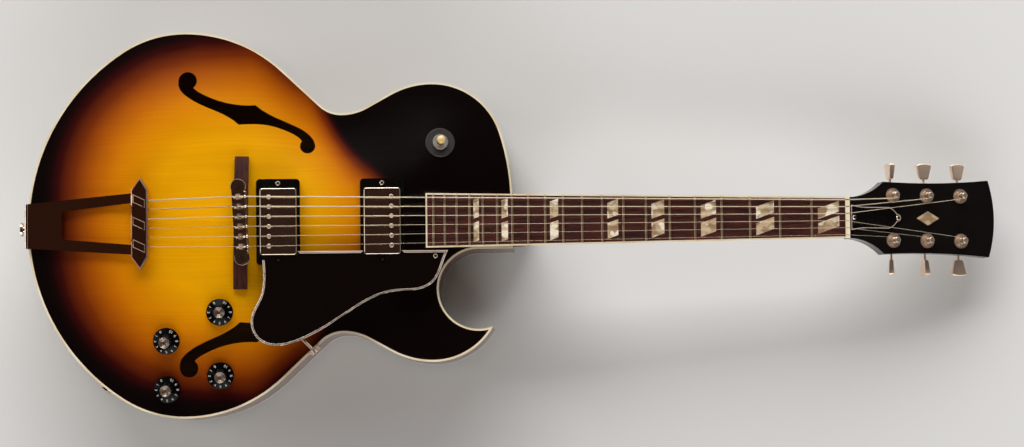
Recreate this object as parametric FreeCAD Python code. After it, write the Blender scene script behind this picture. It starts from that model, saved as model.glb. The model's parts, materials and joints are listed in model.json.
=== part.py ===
import FreeCAD, Part
import math
import os

from FreeCAD import Placement, Rotation, Vector

# Hollow archtop guitar lying on its back, in millimetres.
# +X runs along the neck to the head, +Y to the bass side, +Z up through the top.
# The origin is under the middle of the overall length, on the surface it lies on.

# Body outline
body_length = 508.0
lower_bout_width = 405.0
waist_width = 230.0
upper_bout_width = 292.6
neck_seat_bass = 20.0
neck_seat_treble = 28.6
cutaway_radius = 42.0
horn_radius = 72.0
lower_bout_share = 0.324803
waist_share = 0.649606
upper_bout_share = 0.834646
cutaway_share = 0.929134
lower_bout_from_tail = body_length * lower_bout_share
waist_from_tail = body_length * waist_share
upper_bout_from_tail = body_length * upper_bout_share
cutaway_from_tail = body_length * cutaway_share
tail_turn_share = 0.638
shoulder_turn_share = 0.201
lower_bend_share = 0.913
lower_crest_share = 0.824
upper_bend_share = 0.925
upper_crest_share = 0.62

# Body depth and walls
rim_depth = 86.0
top_arch = 16.0
back_arch = 17.0
plate_thickness = 5.0
rim_thickness = 3.0
binding_width = 2.0
glue_width = 12.0
recurve_width = 105.0
crown_share = 0.2
crown_length = 250.0
crown_width = 200.0
edge_dip = 0.2
grid_pitch = 22.0
grid_margin = 3

# Linings, bars and blocks
lining_width = 6.0
lining_height = 14.0
bar_width = 8.0
bar_offset = 56.0
bar_drop = 10.0
bar_start_share = 0.255906
bar_end_share = 0.787402
bar_start = body_length * bar_start_share
bar_end = body_length * bar_end_share
tail_block_length = 26.0
tail_block_width = 84.0
neck_block_length = 52.0

# F-holes, from the outer lobe near the tail to the inner lobe near the waist
f_outer_along_share = 0.333661
f_outer_aside_share = 0.742222
f_inner_along_share = 0.580118
f_inner_aside_share = 0.397531
f_outer_from_tail = body_length * f_outer_along_share
f_outer_offset = lower_bout_width / 2 * f_outer_aside_share
f_inner_from_tail = body_length * f_inner_along_share
f_inner_offset = lower_bout_width / 2 * f_inner_aside_share
f_outer_radius = 9.6
f_inner_radius = 7.9
f_top_first_shares = (
    (0.0, 0.03), (0.062, -0.024), (0.155, -0.033), (0.265, -0.021), (0.368, 0.006), (0.522, 0.081))
f_top_last_shares = (
    (0.522, 0.081), (0.565, 0.074), (0.684, 0.071), (0.833, 0.084), (0.952, 0.081), (1.026, 0.053))
f_low_first_shares = (
    (-0.056, -0.04), (-0.012, -0.085), (0.058, -0.105), (0.157, -0.109), (0.287, -0.097), (0.487, -0.105))
f_low_last_shares = (
    (0.487, -0.105), (0.575, -0.051), (0.685, -0.002), (0.808, 0.022), (0.927, 0.019), (1.0, -0.03))

# Scale, neck and fingerboard
scale_length = 628.65
joint_fret = 14
fret_count = 20
frets_per_octave = 12
neck_angle = 4.5
board_rise = 15.0
board_thickness = 6.0
board_radius = 305.0
nut_width = 43.0
board_end_width = 56.8
board_overhang = 8.0
board_binding_width = 1.6
neck_depth_nut = 15.0
neck_depth_heel = 18.0
heel_width_top = 54.0
heel_width_bottom = 38.0
heel_length_top = 62.0
heel_length_bottom = 24.0
heel_curve_shares = (1.0, 0.34, 0.1, 0.0)
curve_handle_share = 1.333333
heel_top_inset = 14.0
tongue_inset = 1.0
truss_radius = 2.5
truss_depth = 7.0
truss_nut_radius = 3.2
truss_nut_length = 10.0
truss_nut_from_head = 10.0
truss_pocket_start = 8.0
truss_pocket_length = 18.0
truss_pocket_width = 9.0
truss_pocket_depth = 9.0

# Frets, inlays and nut
fret_width = 2.2
fret_height = 1.0
fret_round = 0.4
nib_gap = 0.1
inlay_depth = 1.4
inlay_frets = (1, 3, 5, 7, 9, 12, 15, 17)
inlay_margin = 4.5
inlay_gap = 4.4
inlay_length_share = 0.635
inlay_slope_share = 0.36
nut_length = 4.5
nut_height = 2.3
nut_slot_gap = 0.1

# Headstock
head_angle = 14.0
head_length = 165.0
head_thickness = 14.5
veneer_thickness = 1.5
shoulder_from_nut = 39.0
shoulder_width = 76.2
head_waist_width = 74.2
head_end_width = 81.4
head_end_bulge = 6.5
shoulder_mid_share = 0.6
shoulder_swell_share = 0.34
lozenge_from_nut = 89.2
lozenge_length = 26.0
lozenge_width = 15.0
cover_from_nut = 1.5
cover_length = 56.0
cover_width = 27.0
cover_thickness = 1.8
cover_flare_shares = ((0.0, 1.0), (0.13, 0.88), (0.33, 0.82))
cover_shoulder_shares = ((0.765, 0.835), (0.853, 0.63), (0.925, 0.3))
cover_screw_inset = 3.3

# Tuners
post_from_nut = 49.4
post_pitch = 38.5
post_offset = 23.7
post_radius = 3.0
post_waist_radius = 2.5
post_height = 13.0
post_waist_low = 5.0
post_waist_high = 10.5
post_hole_radius = 0.8
bushing_flange_radius = 7.7
bushing_flange_height = 1.2
bushing_collar_radius = 5.2
bushing_collar_height = 2.6
bushing_sleeve_radius = 4.6
bushing_sleeve_depth = 7.0
housing_length = 18.0
housing_width = 15.0
housing_height = 10.5
housing_wall = 1.2
housing_round = 2.0
wheel_radius = 4.2
wheel_thickness = 4.5
worm_radius = 1.7
gear_gap = 0.3
key_shaft_radius = 1.4
key_collar_radius = 2.6
key_collar_length = 3.0
button_start = 42.5
button_length = 17.0
button_width = 17.0
button_foot_width = 10.0
button_foot_round = 3.0
button_corner_round = 1.6
button_thickness = 6.6
button_root_thickness = 4.6
button_round = 1.2
button_bulge = 1.5
key_turns = (90.0, 0.0, 10.0, 114.0, 90.0, 0.0)

# Strings, bass first
string_count = 6
string_radii = (0.585, 0.455, 0.33, 0.215, 0.165, 0.127)
nut_string_spread = 36.5
bridge_string_spread = 52.0
tail_string_spread = 48.0
nut_action = 1.15
bridge_action = 3.6
string_post_height = 7.5
string_post_gap = 0.3
string_bend_radius = 3.0

# Bridge
bridge_setback = 3.4
bridge_skew = 3.0
base_skew = -1.0
base_length = 138.6
base_width = 14.3
base_wing_height = 4.0
base_deck_share = 0.66
bridge_length = 88.0
bridge_width = 13.0
bridge_height = 6.5
bridge_below_crown = 4.2
bridge_travel = 2.5
stud_spacing = 74.0
stud_radius = 2.0
stud_depth = 6.0
stud_proud = 1.2
stud_slot = 0.8
stud_bore_gap = 0.35
wheel_disc_radius = 8.0
wheel_disc_height = 3.3
saddle_length = 4.2
saddle_width = 5.6
saddle_slot_width = 6.4
saddle_travel = 2.5
saddle_crest = 0.8
saddle_string_gap = 0.5
saddle_floor = 1.4
saddle_screw_radius = 1.1
saddle_screw_head_radius = 1.8
saddle_screw_head = 1.0
wire_radius = 0.45
wire_length = 62.0

# Tailpiece and its hinge
hinge_overhang = 0.7
hinge_above_edge = 3.0
knuckle_radius = 2.0
knuckle_count = 7
hinge_width = 46.6
hinge_gap = 0.15
pin_radius = 1.0
running_gap = 0.05
hinge_relief = 0.3
tail_lift = 12.0
tail_clearance = 4.0
leaf_thickness = 1.5
leaf_depth = 64.0
leaf_foot_width = 32.0
tail_plate_thickness = 2.2
tail_arm_width = 64.0
tail_window_start = 38.6
tail_window_root_width = 29.0
tail_window_bar_width = 43.5
tail_window_round = 3.5
bar_from_hinge = 114.3
bar_length = 18.0
bar_shoulder = 35.0
bar_tip = 48.4
bar_tip_share = 0.55
bar_height_below = 3.5
bar_height_above = 3.6
bar_bevel = 1.4
bar_gem_count = 3
bar_gem_pitch = 23.4
bar_gem_height = 1.2
bar_gem_length_share = 0.72
bar_gem_width_share = 0.62
bar_gem_slant_share = 0.26
tail_hole_radius = 1.4
tail_hole_depth = 10.0

# Pickups and rings
pickup_from_joint = (135.2, 243.1)
pole_sides = (1.0, -1.0)
cover_long = 69.5
cover_wide = 38.0
cover_high = 12.0
cover_wall = 0.8
cover_round = 3.0
cover_edge_round = 1.2
cover_below_board = 1.5
pickup_up = 1.5
pickup_down = 3.0
pole_radius = 2.3
pole_proud = 0.9
pole_bevel = 0.5
pole_slot = 0.6
pole_slot_depth = 0.4
pole_row = 9.6
pole_spread = 51.0
base_plate_thickness = 1.6
tab_length = 83.0
tab_width = 12.0
ring_length = 89.0
ring_width = 45.4
ring_round = 4.0
ring_below_board = 6.0
ring_gap = 0.6
ring_screw_inset = 4.2
height_screw_inset = 4.6
pocket_gap = 1.2
ring_depth = 26.0

# Pickguard, from its neck end and its string edge
guard_from_joint = 67.0
guard_string_edge = 31.0
guard_length = 204.6
guard_depth = 97.5
guard_thickness = 2.8
guard_below_board = 2.6
guard_notch_gap = 1.0
guard_screw_hole = 3.0
guard_edge_shares = (
    (0.0, 0.0), (0.038, 0.2), (0.075, 0.335), (0.123, 0.4), (0.278, 0.437), (0.54, 0.7),
    (0.717, 0.915), (0.842, 1.0), (0.905, 0.998), (0.967, 0.93), (1.0, 0.8), (0.996, 0.67),
    (0.953, 0.48), (0.938, 0.26), (0.948, 0.0))
guard_post_along_share = 0.0635
guard_post_deep_share = 0.0615
guard_bolt_along_share = 0.788
guard_bolt_deep_share = 0.828
guard_post_from_tail = body_length - guard_from_joint - guard_length * guard_post_along_share
guard_post_offset = guard_string_edge + guard_depth * guard_post_deep_share
guard_bolt_from_tail = body_length - guard_from_joint - guard_length * guard_bolt_along_share
guard_bolt_offset = guard_string_edge + guard_depth * guard_bolt_deep_share
guard_post_radius = 3.2
guard_rod_radius = 1.6
guard_rod_drop = 3.4
guard_pad_radius = 6.0
guard_foot_width = 12.0
guard_foot_height = 34.0
guard_foot_thickness = 1.6
guard_foot_gap = 0.15
guard_foot_share = 0.778
guard_nut_radius = 3.4
guard_nut_length = 4.0

# Controls
knob_place_shares = ((0.398819, 0.457284), (0.28937, 0.600494), (0.288189, 0.848395), (0.397638, 0.779259))
knob_from_tail = tuple(body_length * along for along, aside in knob_place_shares)
knob_offset = tuple(lower_bout_width / 2 * aside for along, aside in knob_place_shares)
knob_skirt_radius = 14.0
knob_skirt_edge = 1.6
knob_skirt_height = 5.0
knob_stem_radius = 7.6
knob_top_radius = 6.4
knob_height = 15.0
knob_lift = 1.6
knob_cap_radius = 5.6
knob_cap_depth = 0.8
knob_swing = 150.0
pot_shaft_radius = 3.0
pot_bushing_radius = 4.7
pot_bushing_proud = 1.2
pot_radius = 12.0
pot_height = 9.0
pot_gap = 0.8
bore_depth = 15.0
switch_along_share = 0.85315
switch_aside_share = 0.559809
switch_from_tail = body_length * switch_along_share
switch_offset = upper_bout_width / 2 * switch_aside_share
switch_ring_radius = 15.4
switch_ring_height = 1.8
switch_nut_radius = 8.0
switch_nut_height = 3.2
switch_bore_radius = 4.0
switch_hole_radius = 5.6
switch_body_length = 30.0
switch_body_width = 14.0
switch_body_height = 26.0
switch_gap = 2.5
lever_radius = 1.7
lever_height = 20.0
lever_depth = 4.0
lever_tip_radius = 4.5
lever_tip_root_radius = 2.8
lever_tip_length = 12.0
lever_swing = 12.0

# Strap buttons and output jack
button_base_radius = 7.0
button_base_height = 2.0
button_neck_radius = 4.0
button_neck_length = 7.0
button_rim_radius = 7.6
button_rim_height = 3.0
button_rim_taper = 1.0
button_screw_radius = 2.4
button_screw_length = 24.0
jack_angle = 50.0
jack_plate_radius = 15.0
jack_plate_thickness = 1.6
jack_nut_radius = 6.4
jack_nut_height = 2.6
jack_barrel_radius = 5.6
jack_barrel_length = 22.0
jack_bore_radius = 3.2
jack_bore_depth = 18.0

# Small screws
screw_head_radius = 2.3
screw_head_height = 1.5
screw_shank_radius = 1.2
recess_width = 0.7
recess_length = 2.8
recess_depth = 0.7
ring_screw_length = 20.0
height_screw_length = 20.0
cover_screw_length = 6.0
tab_hole_gap = 0.2

overrun = 2.0
full_turn = 360.0
right_angle = 90.0

# Levels and reach worked out from the sizes above
back_edge_z = back_arch
top_edge_z = back_edge_z + rim_depth
back_glue_z = back_edge_z + plate_thickness
top_glue_z = top_edge_z - plate_thickness
board_z = top_edge_z + board_rise
lever_pivot_z = -plate_thickness / 2
arch_drop = top_arch + rim_depth
nut_u = scale_length * (1 - 2 ** (-joint_fret / frets_per_octave))
bridge_u = nut_u - scale_length - bridge_setback
head_u = nut_u + nut_length
head_slope = math.radians(neck_angle + head_angle)
neck_slope = math.radians(neck_angle)
button_reach = leaf_thickness + button_base_height + button_neck_length + button_rim_height
head_reach = (head_u * math.cos(neck_slope) - board_thickness * math.sin(neck_slope)
              + head_length * math.cos(head_slope) + veneer_thickness * math.sin(head_slope))
tail_x = button_reach - (button_reach + body_length + head_reach) / 2
joint_x = tail_x + body_length
x_axis = Vector(1, 0, 0)
y_axis = Vector(0, 1, 0)
z_axis = Vector(0, 0, 1)
neck_place = Placement(Vector(joint_x, 0, board_z), Rotation(y_axis, neck_angle))
head_place = neck_place.multiply(Placement(Vector(head_u, 0, -board_thickness), Rotation(y_axis, head_angle)))
key_offset = wheel_radius + worm_radius + gear_gap
key_drop = head_thickness + housing_height / 2


def placed(shape, place):
    moved = shape.copy()
    moved.Placement = place.multiply(moved.Placement)
    return moved


def box(low, high):
    size = high.sub(low)
    return Part.makeBox(size.x, size.y, size.z, low)


def rod(start, end, radius):
    run = end.sub(start)
    return Part.makeCylinder(radius, run.Length, start, run)


def upright(low, high, radius):
    return rod(Vector(0, 0, low), Vector(0, 0, high), radius)


def centered_box(length, width, low, high):
    return box(Vector(-length / 2, -width / 2, low), Vector(length / 2, width / 2, high))


def shift(x, y, z):
    return Placement(Vector(x, y, z), Rotation())


def prism(points, low, high):
    wire = Part.makePolygon([Vector(x, y, low) for x, y in points + points[:1]])
    return Part.Face(wire).extrude(Vector(0, 0, high - low))


def turned(profile):
    wire = Part.makePolygon([Vector(r, 0, z) for r, z in profile + profile[:1]])
    return Part.Face(wire).revolve(Vector(), z_axis, full_turn)


def rounded_block(length, width, low, high, corner):
    block = box(Vector(-length / 2, -width / 2, low), Vector(length / 2, width / 2, high))
    uprights = [edge for edge in block.Edges if edge.tangentAt(edge.FirstParameter).z]
    return block.makeFillet(corner, uprights)


def arc(center, start, end):
    spoke = start.sub(center).add(end.sub(center))
    spoke.normalize()
    middle = center.add(spoke.multiply(start.sub(center).Length))
    return Part.Arc(start, middle, end).toShape()


# Two tangent arcs from a point where the edge runs across to a crest where it runs along
def quarter_arcs(side, crest, turn_share):
    turn = math.radians(right_angle * turn_share)
    reach = crest.x - side.x
    rise = crest.y - side.y
    along = math.copysign(1, reach)
    up = math.copysign(1, rise)
    scale = 1 - math.cos(turn) - math.sin(turn)
    side_radius = (abs(reach) * (1 - math.sin(turn)) - abs(rise) * math.cos(turn)) / scale
    crest_radius = (abs(rise) * (1 - math.cos(turn)) - abs(reach) * math.sin(turn)) / scale
    side_center = Vector(side.x + along * side_radius, side.y, 0)
    crest_center = Vector(crest.x, crest.y - up * crest_radius, 0)
    spoke = Vector(-along * math.cos(turn), up * math.sin(turn), 0)
    meeting = side_center.add(spoke.multiply(side_radius))
    return [arc(side_center, side, meeting), arc(crest_center, meeting, crest)], side_center


# An S-bend of arc, straight and arc between two points where the edge runs along
def bend(crest, valley, bend_share, crest_share):
    run = valley.x - crest.x
    drop = crest.y - valley.y
    up = math.copysign(1, drop)
    total = bend_share * (run ** 2 + drop ** 2) / (2 * abs(drop))
    crest_radius = total * crest_share
    valley_radius = total - crest_radius
    crest_center = Vector(crest.x, crest.y - up * crest_radius, 0)
    valley_center = Vector(valley.x, valley.y + up * valley_radius, 0)
    line = valley_center.sub(crest_center)
    along = math.copysign(1, run)
    lean = math.atan2(up * line.y, along * line.x) + math.acos(total / line.Length)
    spoke = Vector(along * math.cos(lean), up * math.sin(lean), 0)
    crest_end = crest_center.add(spoke * crest_radius)
    valley_end = valley_center.sub(spoke * valley_radius)
    return [arc(crest_center, crest, crest_end), Part.makeLine(crest_end, valley_end),
            arc(valley_center, valley_end, valley)]


def body_point(from_tail, offset):
    return Vector(tail_x + from_tail, offset, 0)


# Where the horn's outer arc and the cutaway's arc cross, at the horn's point
def horn_tip(horn_center, cutaway_center):
    line = cutaway_center.sub(horn_center)
    along = (horn_radius ** 2 - cutaway_radius ** 2 + line.Length ** 2) / (2 * line.Length)
    aside = math.sqrt(horn_radius ** 2 - along ** 2)
    line.normalize()
    return horn_center.add(line * along).add(Vector(line.y, -line.x, 0) * aside)


def half_outline(side):
    tail = body_point(0, 0)
    lower = body_point(lower_bout_from_tail, side * lower_bout_width / 2)
    waist = body_point(waist_from_tail, side * waist_width / 2)
    upper = body_point(upper_bout_from_tail, side * upper_bout_width / 2)
    tail_arcs, tail_center = quarter_arcs(tail, lower, tail_turn_share)
    edges = tail_arcs + bend(lower, waist, lower_bend_share, lower_crest_share)
    edges += bend(upper, waist, upper_bend_share, upper_crest_share)
    return edges, upper, tail_center


def body_outline():
    bass_edges, bass_upper, tail_center = half_outline(1)
    treble_edges, treble_upper, tail_center = half_outline(-1)
    seat_bass = body_point(body_length, neck_seat_bass)
    seat_treble = body_point(body_length, -neck_seat_treble)
    shoulder_arcs, shoulder_center = quarter_arcs(seat_bass, bass_upper, shoulder_turn_share)
    cut_start = body_point(cutaway_from_tail, -neck_seat_treble)
    cut_center = body_point(cutaway_from_tail, -neck_seat_treble - cutaway_radius)
    cut_left = cut_center.sub(Vector(cutaway_radius, 0, 0))
    horn_center = treble_upper.add(Vector(0, horn_radius, 0))
    tip = horn_tip(horn_center, cut_center)
    edges = bass_edges + shoulder_arcs
    edges += [Part.makeLine(seat_bass, seat_treble), Part.makeLine(seat_treble, cut_start)]
    edges += [arc(cut_center, cut_start, cut_left), arc(cut_center, cut_left, tip)]
    edges += [arc(horn_center, tip, treble_upper)] + treble_edges
    return Part.Wire(Part.__sortEdges__(edges))


outline = body_outline()
body_face = Part.Face(outline)
plate_face = body_face.makeOffset2D(-binding_width)
wall_face = body_face.makeOffset2D(-rim_thickness)
lining_face = body_face.makeOffset2D(-rim_thickness - lining_width)
hollow_face = body_face.makeOffset2D(-glue_width)


def slab(face, low, high):
    return placed(face, shift(0, 0, low)).extrude(Vector(0, 0, high - low))


# Height of the arch at a point, as a share of the full arch: a recurve at the edge, a gentle crown inside
def arch_share(x, y):
    spot = Part.Vertex(x, y, 0)
    if body_face.distToShape(spot)[0] > 0:
        return 0
    reach = min(outline.distToShape(spot)[0] / recurve_width, 1)
    swell = reach * reach * (3 - 2 * reach)
    bridge_x = joint_x + bridge_u * math.cos(neck_slope)
    crown = max(0, 1 - ((x - bridge_x) / crown_length) ** 2 - (y / crown_width) ** 2)
    return swell * (1 - crown_share + crown_share * crown)


def arch_surface():
    columns = math.ceil(body_length / grid_pitch) + grid_margin
    rows = 2 * math.ceil(lower_bout_width / 2 / grid_pitch) + grid_margin
    start_x = tail_x - grid_pitch
    start_y = -(rows - 1) / 2 * grid_pitch
    heights = [[arch_share(start_x + column * grid_pitch, start_y + row * grid_pitch)
                for row in range(rows)] for column in range(columns)]
    return heights, start_x, start_y


arch_heights, arch_start_x, arch_start_y = arch_surface()


def dome(edge_z, arch):
    levels = [[edge_z + arch * share for share in column] for column in arch_heights]
    surface = Part.BSplineSurface()
    surface.interpolate(levels, arch_start_x, grid_pitch, arch_start_y, grid_pitch)
    return surface


top_surface = dome(top_edge_z - edge_dip, top_arch + edge_dip)
back_surface = dome(back_edge_z + edge_dip, -back_arch - edge_dip)
body_block = slab(body_face, back_edge_z, top_edge_z)
under_top = top_surface.toShape().extrude(Vector(0, 0, -arch_drop))
under_top = under_top.common(slab(body_face, 0, top_edge_z + arch_drop))


# A place on the top with its own axis square to the surface
def seat(from_tail, offset):
    spot = body_point(from_tail, offset)
    ray = Part.makeLine(Vector(spot.x, spot.y, 0), Vector(spot.x, spot.y, top_edge_z + arch_drop))
    u, v = top_surface.parameter(top_surface.toShape().distToShape(ray)[1][0][0])
    normal = top_surface.normal(u, v)
    if normal.z < 0:
        normal = normal.negative()
    return Placement(top_surface.value(u, v), Rotation(z_axis, normal))


def knob_seat(index):
    return seat(knob_from_tail[index], -knob_offset[index])


def switch_seat():
    return seat(switch_from_tail, switch_offset)


def fret_u(number):
    return nut_u - scale_length * (1 - 2 ** (-number / frets_per_octave))


board_end_u = fret_u(fret_count) - board_overhang


def board_half(u):
    share = (nut_u - u) / (nut_u - board_end_u)
    return (nut_width + (board_end_width - nut_width) * share) / 2


def crown_drop(v):
    return board_radius - math.sqrt(board_radius ** 2 - v ** 2)


def string_shift(index, spread):
    return spread / 2 - spread * index / (string_count - 1)


def nut_point(index):
    v = string_shift(index, nut_string_spread)
    return Vector(nut_u, v, nut_action - crown_drop(v) + string_radii[index])


def saddle_point(index):
    v = string_shift(index, bridge_string_spread)
    u = bridge_u - v * math.tan(math.radians(bridge_skew))
    return Vector(u, v, bridge_action - crown_drop(v) + string_radii[index])


crown_point = neck_place.multVec(Vector(bridge_u, 0, bridge_action))
bridge_place = Placement(crown_point, Rotation(z_axis, bridge_skew))
hinge_point = Vector(tail_x - hinge_overhang, 0, top_edge_z + hinge_above_edge)
tail_reach = bar_from_hinge + bar_length
string_rise = (crown_point.z - hinge_point.z) / (crown_point.x - hinge_point.x)
bar_under = seat(tail_reach - hinge_overhang, 0).Base.z + tail_clearance + bar_height_below
bar_rise = (bar_under - hinge_point.z) / tail_reach
tail_slope = math.degrees(math.atan(max(string_rise, bar_rise)))
tail_place = Placement(hinge_point, Rotation(y_axis, -tail_slope))
stud_low = crown_point.z - bridge_below_crown - bridge_height - wheel_disc_height
base_top_z = stud_low - bridge_travel - running_gap - gear_gap


def f_hole(side):
    outer = body_point(f_outer_from_tail, f_outer_offset)
    inner = body_point(f_inner_from_tail, f_inner_offset)
    along = inner.sub(outer)
    across = Vector(-along.y, along.x, 0)

    def edge(shares):
        spots = [outer.add(along * s).add(across * t) for s, t in shares]
        curve = Part.BSplineCurve()
        curve.interpolate(spots)
        return curve.toShape()

    top_edges = [edge(f_top_first_shares), edge(f_top_last_shares)]
    low_edges = [edge(f_low_first_shares), edge(f_low_last_shares)]
    starts = [edges[0].Vertexes[0].Point for edges in (top_edges, low_edges)]
    ends = [edges[1].Vertexes[-1].Point for edges in (top_edges, low_edges)]
    closing = [Part.makeLine(starts[0], starts[1]), Part.makeLine(ends[0], ends[1])]
    stem = Part.Face(Part.Wire(Part.__sortEdges__(top_edges + low_edges + closing)))
    lobes = [Part.Face(Part.Wire(Part.makeCircle(f_outer_radius, outer))),
             Part.Face(Part.Wire(Part.makeCircle(f_inner_radius, inner)))]
    cutters = [slab(face, top_glue_z - overrun, board_z + top_arch) for face in [stem] + lobes]
    hole = cutters[0].fuse(cutters[1:])
    if side < 0:
        hole = hole.mirror(Vector(), y_axis)
    return hole


def pickup_place(index, w):
    middle = Vector(-pickup_from_joint[index], 0, w)
    return neck_place.multiply(Placement(middle, Rotation(z_axis, right_angle)))


# Room under a ring for the pickup and its two end tabs
def pickup_pocket(index):
    main = centered_box(cover_long + 2 * pocket_gap, cover_wide + 2 * pocket_gap, -ring_depth, 0)
    tabs = centered_box(tab_length + 2 * pocket_gap, tab_width + 2 * pocket_gap, -ring_depth, 0)
    return placed(main.fuse(tabs), pickup_place(index, -ring_below_board))


# Cross for a screwdriver, sunk from the top of a head
def cross_recess(top):
    arms = ((recess_length, recess_width), (recess_width, recess_length))
    return [centered_box(long, wide, top - recess_depth, top + overrun) for long, wide in arms]


def countersunk(length, crossed):
    screw = turned([(0, 0), (screw_head_radius, 0), (screw_shank_radius, -screw_head_height),
                    (screw_shank_radius, -length), (0, -length)])
    return screw.cut(cross_recess(0)) if crossed else screw


def pan_screw(length, crossed):
    edge = screw_head_height / 2
    screw = turned([(0, screw_head_height), (screw_head_radius - edge, screw_head_height),
                    (screw_head_radius, screw_head_height - edge), (screw_head_radius, 0),
                    (screw_shank_radius, 0), (screw_shank_radius, -length), (0, -length)])
    return screw.cut(cross_recess(screw_head_height)) if crossed else screw


def ring_screws(index, crossed=False):
    place = pickup_place(index, -ring_below_board)
    x = ring_length / 2 - ring_screw_inset
    y = ring_width / 2 - ring_screw_inset
    corners = [(x, y), (x, -y), (-x, y), (-x, -y)]
    screw = countersunk(ring_screw_length, crossed)
    return [placed(screw, place.multiply(shift(a, b, 0))) for a, b in corners]


def height_screws(index, crossed=False):
    place = pickup_place(index, -ring_below_board)
    x = ring_length / 2 - height_screw_inset
    screw = pan_screw(height_screw_length, crossed)
    return [placed(screw, place.multiply(shift(a, 0, 0))) for a in (x, -x)]


def truss_cover_screws(crossed=False):
    spots = (cover_from_nut + cover_screw_inset, cover_from_nut + cover_length - cover_screw_inset)
    level = veneer_thickness + cover_thickness
    screw = pan_screw(cover_screw_length, crossed)
    return [placed(screw, head_place.multiply(shift(s, 0, level))) for s in spots]


def guard_point(from_tail, offset, w):
    u = (tail_x + from_tail - joint_x) / math.cos(neck_slope)
    return neck_place.multVec(Vector(u, -offset, w))


def guard_screw(crossed=False):
    top = guard_point(guard_post_from_tail, guard_post_offset, -guard_below_board)
    length = top.z - top_glue_z
    return placed(pan_screw(length, crossed), Placement(top, Rotation(y_axis, neck_angle)))


def foot_place():
    waist = body_point(waist_from_tail, -waist_width / 2)
    lower = body_point(lower_bout_from_tail, -lower_bout_width / 2)
    straight = bend(lower, waist, lower_bend_share, lower_crest_share)[1]
    start, end = [vertex.Point for vertex in straight.Vertexes]
    spot = start.add(end.sub(start) * guard_foot_share)
    normal = Vector(end.y - start.y, start.x - end.x, 0)
    if normal.y > 0:
        normal = normal.negative()
    return Placement(spot, Rotation(x_axis, normal))


def foot_screw(crossed=False):
    level = top_edge_z - guard_foot_height / 2
    inner = Placement(Vector(guard_foot_gap + guard_foot_thickness, 0, level), Rotation(y_axis, right_angle))
    return placed(pan_screw(cover_screw_length, crossed), foot_place().multiply(inner))


def screws(crossed=False):
    group = truss_cover_screws(crossed) + [guard_screw(crossed), foot_screw(crossed)]
    for index in range(len(pickup_from_joint)):
        group += ring_screws(index, crossed) + height_screws(index, crossed)
    return group


screw_group = Part.makeCompound(screws())


def pot_hole(index):
    return placed(upright(-bore_depth, knob_lift, pot_bushing_radius), knob_seat(index))


def top_plate():
    shell = slab(plate_face, top_glue_z, top_edge_z + arch_drop).common(under_top)
    lower = top_surface.toShape()
    lower.translate(Vector(0, 0, -plate_thickness))
    inside = lower.extrude(Vector(0, 0, -arch_drop))
    hollow = slab(hollow_face, top_glue_z - overrun, top_edge_z + arch_drop).common(inside)
    plate = shell.cut(hollow)
    cutters = [f_hole(1), f_hole(-1), pickup_pocket(0), pickup_pocket(1)]
    cutters += [pot_hole(index) for index in range(len(knob_offset))]
    cutters.append(placed(upright(-bore_depth, knob_lift, switch_hole_radius), switch_seat()))
    cutters += ring_screws(0) + ring_screws(1) + [guard_screw()]
    return plate.cut(cutters)


def back_plate():
    outer = back_surface.toShape().extrude(Vector(0, 0, arch_drop))
    shell = slab(plate_face, back_edge_z - arch_drop, back_glue_z).common(outer)
    upper = back_surface.toShape()
    upper.translate(Vector(0, 0, plate_thickness))
    inside = upper.extrude(Vector(0, 0, arch_drop))
    return shell.cut(slab(hollow_face, back_edge_z - arch_drop, back_glue_z + overrun).common(inside))


def tail_button_place():
    spot = Vector(tail_x - leaf_thickness, 0, (back_edge_z + top_edge_z) / 2)
    return Placement(spot, Rotation(z_axis, x_axis.negative()))


def heel_button_place():
    spot = Vector(joint_x + heel_length_bottom / 2, 0, back_edge_z)
    return Placement(spot, Rotation(x_axis, 2 * right_angle))


def strap_button():
    neck_z = button_base_height + button_neck_length
    top_z = neck_z + button_rim_height
    low = -button_screw_length
    return turned([(0, low), (button_screw_radius, low), (button_screw_radius, 0),
                   (button_base_radius, 0), (button_base_radius, button_base_height / 2),
                   (button_neck_radius, button_base_height), (button_neck_radius, neck_z),
                   (button_rim_radius, neck_z + button_rim_taper), (button_rim_radius, top_z), (0, top_z)])


def strap_buttons():
    return [placed(strap_button(), tail_button_place()), placed(strap_button(), heel_button_place())]


button_group = Part.makeCompound(strap_buttons())


def jack_place():
    tail_center = half_outline(-1)[2]
    radius = tail_center.x - tail_x
    turn = math.radians(jack_angle)
    normal = Vector(-math.cos(turn), -math.sin(turn), 0)
    spot = tail_center.add(normal * radius)
    spot.z = (back_edge_z + top_edge_z) / 2
    return Placement(spot, Rotation(z_axis, normal))


def output_jack():
    face = jack_plate_thickness
    nut_top = face + jack_nut_height
    barrel_low = nut_top - jack_barrel_length
    plate = turned([(jack_barrel_radius, 0), (jack_plate_radius, 0), (jack_plate_radius - face / 2, face),
                    (jack_barrel_radius, face)])
    socket = turned([(jack_bore_radius, nut_top), (jack_nut_radius, nut_top), (jack_nut_radius, face),
                     (jack_barrel_radius, face), (jack_barrel_radius, barrel_low), (0, barrel_low),
                     (0, nut_top - jack_bore_depth), (jack_bore_radius, nut_top - jack_bore_depth)])
    return [placed(plate, jack_place()), placed(socket, jack_place())]


def rim():
    wall = slab(body_face.cut(wall_face), back_glue_z, top_glue_z)
    jack_hole = upright(-jack_barrel_length, overrun, jack_barrel_radius)
    return wall.cut([placed(jack_hole, jack_place()), button_group, foot_screw()])


def body_bindings():
    ring = body_face.cut(plate_face)
    return [slab(ring, top_glue_z, top_edge_z), slab(ring, back_edge_z, back_glue_z)]


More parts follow.
